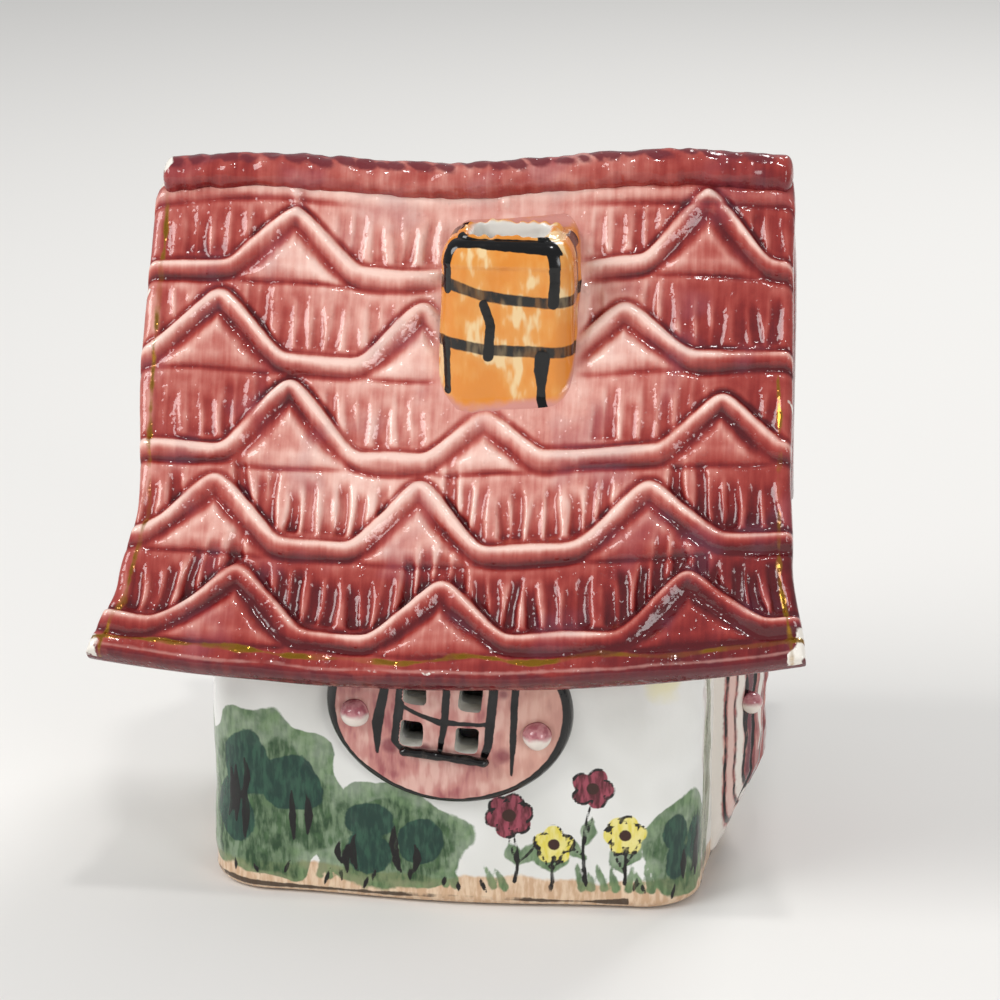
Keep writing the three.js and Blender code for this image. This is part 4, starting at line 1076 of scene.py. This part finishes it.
# The pad's rim begins at pad_edge of the way out, and its skirt is sunk in the wall
pad_turns, pad_edge, pad_skirt = 250, 0.86, (-1.6, -1.0, -0.4, 0.4)
pad_shares = np.concatenate([
    [1.0] * len(pad_skirt), 1 - (1 - pad_edge) * np.linspace(0, 1, 12)[1:] ** 1.3,
    np.linspace(pad_edge, 0.02, 58)[1:]])
turn = np.linspace(0, 2 * np.pi, pad_turns, endpoint=False)
pad_rings, pad_across, pad_up = [], [], []
for number, share in enumerate(pad_shares):
    across, up = window_half[0] * share * np.cos(turn), window_half[1] * share * np.sin(turn)
    x, z = window_place(across, up)
    edge = np.clip((share - pad_edge) / (1 - pad_edge), 0, 1)
    dome = window_dome * (1 - (share / 0.9) ** 2) * (share < 0.9)
    rise = dome + window_relief * (1 - edge ** 2.6) ** (1 / 2.6)
    rise = rise + (0.2 * lumps(71, 6, across, up) + 0.1 * lumps(72, 2.2, across, up)) * (share < 0.97)
    if number < len(pad_skirt):
        rise = rise * 0 + pad_skirt[number]
    frame_gap = np.maximum(np.abs(across - pane_shift[0]) - 9.6, np.abs(up - pane_shift[1]) - 8.6)
    rise = rise - 0.55 * np.exp(-(frame_gap / 0.9) ** 2) * (share < 0.97)
    pad_rings.append(np.column_stack([x, front_face(x) - rise, z]))
    pad_across.append(across)
    pad_up.append(up)
pad_across, pad_up = np.array(pad_across), np.array(pad_up)
pad_lines = [
    ([(-13.6, 14), (-13.4, 4), (-14.3, -4), (-13.9, -10.5)], (2.0, 1.9, 2.4, 0.8)),
    ([(14.0, 16), (13.8, 4), (14.3, -4), (14.6, -12.0)], (1.5, 1.6, 1.4, 0.5)),
    ([(-10.2, 17), (-10.0, 4), (-10.1, -7.2), (-8.4, -9.6)], (1.8, 2.0, 2.2, 1.2)),
    ([(9.6, 18), (9.3, 4), (9.2, -6), (8.2, -9.8)], (1.8, 2.0, 1.9, 1.3)),
    ([(-0.4, 18), (-0.4, 6), (-0.2, -2), (-0.8, -9.4)], (1.6, 1.7, 1.6, 1.0)),
    ([(-9.8, 0.9), (-4.5, -0.9), (-1, -1.7), (3.0, -1.5), (8.8, -1.1)], (0.8, 1.0, 1.5, 1.0, 0.9)),
]
rim_share = np.hypot(pad_across / window_half[0], pad_up / window_half[1])
rim_width = 1.5 + 0.55 * lumps(73, 16, pad_across, pad_up)
pad_ink = np.minimum(lines_gap(pad_across, pad_up, pad_lines), (0.985 - rim_share) * 22 - rim_width)


def spots_gap(a, b, spots, flat=1.0):
    """Signed distance to the nearest of several spots, drawn out upwards where flat is below 1."""
    return np.minimum.reduce([np.hypot(a - x, (b - y) * flat) - size for x, y, size in spots])


pad_spots = (
    (-11.4, -8.7, 1.6), (12.5, -7.7, 1.5), (-7.0, 4.0, 1.0), (4.8, -2.2,
                                                              1.3), (-4.0, -8.4, 1.2), (11.4, 6.0, 1.0))
corner_gap = spots_gap(pad_across, pad_up, pad_spots)
pad_marks = {"ink": near(pad_ink), "berry": near(corner_gap), "across": pad_across}
window_pad = lofted("window_oval", pad_rings, pad_marks)
for cutter in pane_cutters("pad_pane"):
    cut(window_pad, cutter)

# Pink glaze, thinner than the roof's and drawn over the oval with a flat brush, peach towards the
# right and plum in the corners; the cut edges of the panes are white.
pink_glaze, tree = new_material("pink_glaze_brushed")
combed, blots = grain(tree, 1.5, 2.0, (1, 0.3, 0.25)), grain(tree, 8, 2.0)
tone = nudged(tree, blots, combed, 0.6)
pink = toned(tree, tone, 0.3, 0.5, "#a25a5c", "#c68880")
pink = toned(tree, tone, 0.48, 0.7, pink, "#dfb2a6")
across = add(tree, "ShaderNodeAttribute", attribute_name="across").outputs["Fac"]
pink = toned(tree, across, 4, 20, pink, "#dcae9a", 0.55)
pink = coated(tree, pink, (("berry", 0.6, 0.8, 0.75, "#7c2c3c"), ("ink", 0.2, 0.12, 1.0, "#0b090a")))
height = add(tree, "ShaderNodeMath", (painted(tree, "ink", 0.2, 0.4), 0.6, grain(tree, 2.0)),
             operation="MULTIPLY_ADD")
end_material(tree, pink, 0.12, height, 0.35)

# Plain white glaze, as it lies inside the panes and on the floor.
plain_glaze, tree = new_material("white_glaze_plain")
pale = toned(tree, grain(tree, 9, 3.0), 0.35, 0.65, "#eceae2", "#d9d6cb")
pale = toned(tree, grain(tree, 1.3, 1.0), 0.7, 0.76, pale, "#9c8f7c", 0.5)
end_material(tree, pale, 0.16, grain(tree, 2.4), 0.3)


def whiten_reveals(piece, glaze):
    """Gives a piece its glaze, and the cut sides of the panes the plain white one."""
    piece.data.materials.append(glaze)
    piece.data.materials.append(plain_glaze)
    cos, sin = np.cos(window_tilt), np.sin(window_tilt)
    for face in piece.data.polygons:
        x, z = face.center.x * 1000 - window_x, face.center.z * 1000 - window_z
        across, up = x * cos + z * sin - pane_shift[0], -x * sin + z * cos - pane_shift[1]
        if abs(face.normal.y) < 0.5 and abs(across) < 9 and abs(up) < 8.2:
            face.material_index = 1
            face.use_smooth = False


whiten_reveals(window_pad, pink_glaze)
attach(window_pad, "house")
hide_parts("window_pad")

# The sill, a coil rolled thin and pinched along, under thick shining black.
sill_length, sill_radius, sill_drop, sill_x = 19.0, 1.0, 0.1, 0.4
sill_up = pane_shift[1] - (pane_pitch[1] + pane_size[1] + 2 * sill_radius) / 2 - sill_drop
sill_share = np.linspace(-1, 1, 90)
sill_turn = np.linspace(0, 2 * np.pi, 28, endpoint=False)
ss, tt = np.meshgrid(sill_share, sill_turn, indexing="ij")
girth = sill_radius * np.sqrt(np.clip(1 - (np.clip(np.abs(ss) - 0.86, 0, 1) / 0.1402) ** 2, 0.002, 1))
girth = girth * (1 + 0.16 * lumps(74, 2.0, ss * 10, tt * 1.2) + 0.1 * lumps(75, 5, ss * 10, 0 * tt))
sag = 0.5 * lumps(76, 9, ss * 10, 0 * tt)
x, z = window_place(sill_x + ss * sill_length / 2, sill_up + girth * np.sin(tt) + sag * 0.5)
sill_y = front_face(x) - window_relief - window_dome - 0.9
window_sill = lofted("window_sill_coil", np.stack([x, sill_y + girth * np.cos(tt), z], -1))
black_glaze, tree = new_material("black_glaze_brushed")
black = toned(tree, grain(tree, 1.6, 3.0), 0.45, 0.75, "#0c0a0b", "#2c2622")
end_material(tree, black, 0.09, grain(tree, 0.9), 0.5)
window_sill.data.materials.append(black_glaze)
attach(window_sill, "house")
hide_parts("window_sill")

# Knobs, balls of clay pressed on with a fingertip: the pink runs down off each crown and leaves
# its lower half white.
knob_glaze, tree = new_material("pink_glaze_pooled")
blots = grain(tree, 1.6, 2.0)
crown, seat = (add(tree, "ShaderNodeAttribute",
                   attribute_name=name).outputs["Fac"] for name in ("crown", "seat"))
pink = toned(tree, blots, 0.35, 0.65, "#a85f68", "#c98d90")
shell = toned(tree, nudged(tree, crown, blots, 1.6), -0.6, 0.7, "#e8dcd2", pink)
shell = toned(tree, seat, 0.35, 0.0, shell, "#7a3542", 0.8)
end_material(tree, shell, 0.08, grain(tree, 1.6), 0.25, 0.0002)


def pressed_knob(name, centre, out, radius, seed):
    """A flattened ball whose crown faces out, its rim sunk in the clay behind it."""
    out = Vector(out).normalized()
    across = Vector((0, 0, 1)).cross(out).normalized()
    up = out.cross(across)
    rings, crown, seat = [], [], []
    turn = np.linspace(0, 2 * np.pi, 40, endpoint=False)
    for tip in np.linspace(-0.6, np.pi / 2 - 0.03, 26):
        wide, tall = np.cos(tip) * radius, np.sin(tip) * radius
        dent = 1 + 0.05 * lumps(seed, 2.4, wide * np.cos(turn), wide * np.sin(turn) + tall)
        x, y = wide * dent * np.cos(turn), wide * dent * np.sin(turn)
        rings.append(centre + tall * np.array(out) + np.outer(x, across) + np.outer(y, up))
        crown.append(wide * np.sin(turn))
        seat.append(np.full(len(turn), max(tall, 0.0)))
    knob = lofted(name, rings, {"crown": crown, "seat": seat})
    knob.data.materials.append(knob_glaze)
    return knob


shutter_knob = {"radius": 3.0, "reach": 19.2, "drop": 2.4}
for name, side, node in (("shutter_knob_west", -1, "shutter_knob_left"),
                         ("shutter_knob_east", 1, "shutter_knob_right")):
    x, z = window_place(side * shutter_knob["reach"], -shutter_knob["drop"])
    centre = (x, front_face(x) - window_relief - window_dome, z)
    knob = pressed_knob(name, centre, (0, -1, 0), shutter_knob["radius"], 77 + side)
    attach(knob, "house")
    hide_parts(node)


# Door on the right gable: a thick bulging slab whose foot is drawn in to the wall, scored into five boards
# and brushed mauve between black lines, one board left partly white, with a ball for a knob. A band of
# painted shade runs along the flanks near the face.
door_half, door_foot, door_taper, door_spring = 17.0, 3.0, 20.0, 46.0
door_relief, door_foot_relief, door_swell_shape = 9.4, 1.2, 0.35


def gable_face(y):
    return wall_half_length + bow(y, wall_half_depth - corner_radius)


door_top = door_spring + door_half
board_edges = (-10.4, -3.6, 3.4, 10.2)
back_steps = 12
share = np.linspace(-1, 1, 100)
share = np.sign(share) * (1 - (1 - np.abs(share)) ** 1.5)
door_rings, door_out = [], []
arch_levels = door_spring + door_half * np.sin(np.linspace(0, 0.4715 * np.pi, 40)[1:])
levels = np.concatenate([np.linspace(door_foot, door_spring, 84), arch_levels])
for z in levels:
    arch = max(0, z - door_spring) / (door_top - door_spring)
    half = door_half * np.sqrt(1 - arch ** 2)
    taper = min(1, (z - door_foot) / (door_taper - door_foot))
    relief = (door_foot_relief + (door_relief - door_foot_relief) * taper) * np.sqrt(1 - arch ** 2)
    y = half * share
    score = sum(np.exp(-((y - edge - 0.5 * np.sin(z / 9 + edge)) / 0.6) ** 2) for edge in board_edges)
    swell = (1 - share ** 2) ** door_swell_shape
    dents = 0.28 * lumps(81, 9, y, z) + 0.16 * lumps(82, 3, y, z) - 0.6 * score
    x = gable_face(y) + (relief * swell + dents * swell) - 0.15
    back = np.linspace(half, -half, back_steps)
    back = np.column_stack([np.full(back_steps, wall_half_length - 1.5), back])
    door_rings.append(ring_at(np.concatenate([np.column_stack([x, y]), back]), z))
    door_out.append(np.concatenate([relief * swell, np.full(back_steps, -2.0)]))
door_rings, door_out = np.array(door_rings), np.array(door_out)
door_y, door_z = door_rings[:, :, 1], door_rings[:, :, 2]
door_lines = []
for edge, width in zip(board_edges, (1.3, 0.9, 1.2, 0.9)):
    line = [(edge + 0.5 * np.sin(z / 9 + edge), z) for z in (4, 14, 24, 34, 44, 54, 60)]
    door_lines.append((line, (0.3, width, width * 0.6, width, width * 1.2, width * 0.7, 0.3)))
for y, low, high, width in (
    (-7.4, 8, 30, 0.8), (6.6, 26, 52, 0.7), (13.6, 10, 34, 0.8), (-13.6, 24, 48, 0.7), (0.4, 5, 22, 0.8),
):
    door_lines.append(([(y, low), (y + 0.7, (low + high) / 2), (y - 0.2, high)], (0.2, width, 0.2)))
door_ink = lines_gap(door_y, door_z, door_lines)
# On the flanks the boards are lined out by how far they stand out from the gable
for out, width in ((2.9, 0.5), (4.7, 0.3), (6.45, 0.45)):
    uneven_out = out + 0.12 * lumps(84, 9, door_z, 0 * door_z)
    door_ink = np.minimum(door_ink, np.abs(door_out - uneven_out) - width / 2)
strip = np.minimum(np.maximum(np.abs(door_out - 5.55) - 0.65, 12 - door_z), door_out - 2.3)
strip = np.minimum(strip, brush_gap(door_y, door_z, [(-7.6, 24), (-7.0, 40), (-7.4, 56)], (0.8, 2.6, 0.8)))
# Painted shade: a dark mauve band where the flanks stand 7.3 mm out, near the face
flank_shade = np.abs(door_out - 7.3) - 0.5
blush = np.abs(door_out - 3.85) - 0.65
door_spots = ((-12.6, 46, 1.4), (-7.2, 18, 1.6), (-1.0, 30, 1.5), (6.0, 15, 1.7), (12.8, 40, 1.5),
              (7.2, 47, 1.2))
berry = spots_gap(door_y, door_z, door_spots, 0.6)
door_marks = {"ink": door_ink, "pale": strip, "berry": berry, "flank_shade": flank_shade, "blush": blush}
gable_door = lofted("board_door", door_rings, {mark: near(gap) for mark, gap in door_marks.items()})
door_glaze, tree = new_material("mauve_glaze_on_boards")
combed, blots = grain(tree, 0.9, 3.0, (1, 1, 0.15)), grain(tree, 6, 3.0)
tone = nudged(tree, blots, combed, 0.9)
board = toned(tree, tone, 0.3, 0.52, "#7c3a3c", "#a7605c")
board = toned(tree, tone, 0.52, 0.74, board, "#cf988c")
board = coated(tree, board, (
    ("berry", 0.8, 0.8, 0.7, "#6d1f28"),
    ("flank_shade", 0.3, 0.3, 1.0, "#6b343d"),
    ("blush", 0.3, 0.3, 1.0, "#dfbcb2"),
    ("pale", 0.4, 0.3, 1.0, "#e6ded4"),
    ("ink", 0.2, 0.12, 1.0, "#0d0a0b"),
))
end_material(tree, board, 0.13, grain(tree, 2.0), 0.3)
gable_door.data.materials.append(door_glaze)
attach(gable_door, "house")
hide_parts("gable_door")

door_knob_y, door_knob_z, door_knob_stand = -13.0, 36.5, 0.6
knob_swell = door_relief * (1 - (door_knob_y / door_half) ** 2) ** door_swell_shape
knob_centre = (float(gable_face(door_knob_y)) + knob_swell + door_knob_stand, door_knob_y, door_knob_z)
knob = pressed_knob("board_door_knob", knob_centre, (0.55, -0.83, 0), 2.4, 83)
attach(knob, "house")
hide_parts("door_knob")


# Floor of the house: a slab laid in between the walls, its edge rubbed round, glazed white.
floor_thickness = 5.0
floor_edge = ((1.2, 0.0), (0.3, 0.3), (0.0, 1.2), (0.0, 3.8), (0.3, 4.7), (1.2, floor_thickness))
floor_rings = [ring_at(house_plan(wall_thickness + seat_gap + inset, 26, 20, 8), z) for inset,
               z in floor_edge]
floor_slab = lofted("floor_plate", floor_rings)
floor_slab.data.materials.append(plain_glaze)
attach(floor_slab, "house")
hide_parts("floor_slab")

# The two ribs under the roof keep their plain cut faces; the roof's glaze was dabbed thinly on them.
for name in ("roof_rib_left", "roof_rib_right"):
    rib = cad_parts[name]
    rib.data.materials.clear()
    rib.data.materials.append(door_glaze)


# Tea light: a pressed aluminium cup with a rolled rim and fine upright ribs, full of paraffin wax,
# with a wick of three twisted cotton strands that stands in a tin sustainer.
cup_radius, cup_height, rim_radius, cup_base = 19.0, 16.0, 0.45, floor_thickness + seat_gap
rib_count, cup_turns = 40, 120


def turned_rings(profile, turns):
    turn = np.linspace(0, 2 * np.pi, turns, endpoint=False)
    circle = np.column_stack([np.cos(turn), np.sin(turn)])
    return [ring_at(r * circle, z + cup_base) for r, z in profile]


cup_profile = [(0.4, 0.35), (11.0, 0.35), (11.4, 0.0), (17.8, 0.0), (18.6, 0.25), (18.92, 0.9),
               (18.92, 14.6), (19.0, 15.0)]
for turn in np.linspace(-0.3, np.pi + 0.2, 12):
    cup_profile.append((cup_radius - 0.06 + (rim_radius + 0.05) * np.cos(turn),
                        cup_height - 0.5 + (rim_radius + 0.04) * np.sin(turn)))
cup_profile += [(18.4, 14.9), (18.4, 1.5), (18.1, 0.9), (17.4, 0.62), (0.4, 0.62)]
cup = lofted("foil_cup", turned_rings(cup_profile, cup_turns))

foil, tree = new_material("aluminium_foil_pressed")
drawn = grain(tree, 1.6, 4.0, (1, 1, 0.15))
roughness = add(tree, "ShaderNodeMapRange", (drawn, 0.3, 0.7, 0.2, 0.36), **eased)
end_material(tree, "#c6c8ca", roughness, drawn, 0.2, 0.0002, {"Metallic": 1.0})


def node_group(name, inputs):
    """A geometry node tree with named number inputs after its geometry."""
    group = bpy.data.node_groups.new(name, "GeometryNodeTree")
    group.interface.new_socket("Geometry", in_out="INPUT", socket_type="NodeSocketGeometry")
    for label, kind in inputs.items():
        group.interface.new_socket(label, in_out="INPUT", socket_type=kind)
    group.interface.new_socket("Geometry", in_out="OUTPUT", socket_type="NodeSocketGeometry")
    return group, add(group, "NodeGroupInput")


def grown(piece, group, values):
    """Runs a node tree on a piece with its inputs set, and keeps the result as a plain mesh."""
    modifier = piece.modifiers.new("grow", "NODES")
    modifier.node_group = group
    for item in group.interface.items_tree:
        if item.item_type == "SOCKET" and item.in_out == "INPUT" and item.name in values:
            modifier[item.identifier] = values[item.name]
    settle(piece)
    return piece


def end_group(group, joined, material):
    """Ends a geometry node tree with real, smooth geometry in one material."""
    real = add(group, "GeometryNodeRealizeInstances", (joined,))
    smoothed = add(group, "GeometryNodeSetShadeSmooth", (real,))
    finished = add(group, "GeometryNodeSetMaterial", {"Geometry": smoothed, "Material": material})
    add(group, "NodeGroupOutput", {"Geometry": finished})


# Ribs pressed in the cup's wall, set out on a circle round it
group, given = node_group("cup_ribs", {
    "Count": "NodeSocketInt", "Radius": "NodeSocketFloat", "Height": "NodeSocketFloat",
    "Width": "NodeSocketFloat", "Up": "NodeSocketFloat"})
circle = add(group, "GeometryNodeMeshCircle",
             {"Vertices": given.outputs["Count"], "Radius": given.outputs["Radius"]})
lifted = add(group, "GeometryNodeTransform", {
    "Geometry": circle, "Translation": add(group, "ShaderNodeCombineXYZ", {"Z": given.outputs["Up"]})})
rib_shape = add(group, "GeometryNodeMeshUVSphere", {"Segments": 8, "Rings": 6, "Radius": 1.0})
rib_scaled = add(group, "GeometryNodeTransform", {
    "Geometry": rib_shape,
    "Scale": add(group, "ShaderNodeCombineXYZ",
                 {"X": given.outputs["Width"], "Y": given.outputs["Width"], "Z": given.outputs["Height"]})})
ribs = add(group, "GeometryNodeInstanceOnPoints", {"Points": lifted, "Instance": rib_scaled})
joined = add(group, "GeometryNodeJoinGeometry")
group.links.new(given.outputs["Geometry"], joined.inputs[0])
group.links.new(ribs.outputs[0], joined.inputs[0])
end_group(group, joined, foil)
cup = grown(cup, group,
            {"Count": rib_count, "Radius": (cup_radius - 0.3) / 1000, "Height": 0.0058, "Width": 0.00055,
                         "Up": (cup_base + 7.6) / 1000})
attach(cup, "tealight")
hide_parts("tealight_cup")
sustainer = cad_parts["wick_sustainer"]
sustainer.data.materials.clear()
sustainer.data.materials.append(foil)

wax_radius, wax_top, wax_foot = 18.1, 13.0, 0.95
wax_profile = [(0.5, wax_foot), (17.4, wax_foot), (wax_radius, wax_foot + 0.7), (wax_radius, wax_top - 0.05)]
wax_profile += [(wax_radius - 0.12, wax_top)]
wax_profile += [(wax_radius - 3.2 * s, wax_top - 0.8 * (1 - (1 - s) ** 2.4)) for s in np.linspace(0.08, 1, 9)]
wax_profile += [(r, wax_top - 0.8
                 + 0.25 * np.exp(-((r - 0.9) / 0.8) ** 2)) for r in (12, 9, 6.5, 4.5, 3, 2, 1.4, 1.05)]
wax_profile += [(1.05, 9.0), (1.05, 6.2), (0.5, 6.2)]
wax = lofted("paraffin_wax", turned_rings(wax_profile, 72))
paraffin, tree = new_material("paraffin_wax_poured")
cloudy = grain(tree, 6, 3.0)
poured = toned(tree, cloudy, 0.35, 0.65, "#f4f0e6", "#e9e4d6")
roughness = add(tree, "ShaderNodeMapRange", (cloudy, 0.3, 0.7, 0.3, 0.45), **eased)
glow = {"IOR": 1.44, "Subsurface Weight": 0.25, "Subsurface Scale": 0.003}
end_material(tree, poured, roughness, grain(tree, 3.5), 0.2, extra=glow)
wax.data.materials.append(paraffin)
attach(wax, "tealight")
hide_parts("tealight_wax")

# Strands of the wick: one helix turned three times about its axis
cotton, tree = new_material("cotton_twisted_waxed")
fibres = grain(tree, 0.25, 3.0, (1, 1, 0.4))
end_material(tree, toned(tree, fibres, 0.35, 0.65, "#efe8d8", "#d3c8b0"), 0.7, fibres, 0.6, 0.0001)
group, given = node_group("wick_strands", {
    "Turns": "NodeSocketFloat", "Pitch Radius": "NodeSocketFloat", "Strand Radius": "NodeSocketFloat",
    "Height": "NodeSocketFloat", "Up": "NodeSocketFloat"})
helix = add(group, "GeometryNodeCurveSpiral", {
    "Resolution": 16, "Rotations": given.outputs["Turns"], "Start Radius": given.outputs["Pitch Radius"],
    "End Radius": given.outputs["Pitch Radius"], "Height": given.outputs["Height"]})
strand_circle = add(group, "GeometryNodeCurvePrimitiveCircle",
                    {"Resolution": 8, "Radius": given.outputs["Strand Radius"]})
strand = add(group, "GeometryNodeCurveToMesh",
             {"Curve": helix, "Profile Curve": strand_circle.outputs[0], "Fill Caps": True})
joined = add(group, "GeometryNodeJoinGeometry")
for number in range(3):
    turned = add(group, "GeometryNodeTransform", {
        "Geometry": strand, "Rotation": (0, 0, 2 * np.pi * number / 3),
        "Translation": add(group, "ShaderNodeCombineXYZ", {"Z": given.outputs["Up"]})})
    group.links.new(turned.outputs[0], joined.inputs[0])
end_group(group, joined, cotton)
wick = bpy.data.objects.new("cotton_wick", bpy.data.meshes.new("cotton_wick"))
scene.collection.objects.link(wick)
wick_foot = cup_base + 1.35
wick = grown(wick, group,
             {"Turns": 6.0, "Pitch Radius": 0.00034, "Strand Radius": 0.00034, "Height": 0.0209,
              "Up": wick_foot / 1000})
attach(wick, "tealight")
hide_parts("tealight_wick")
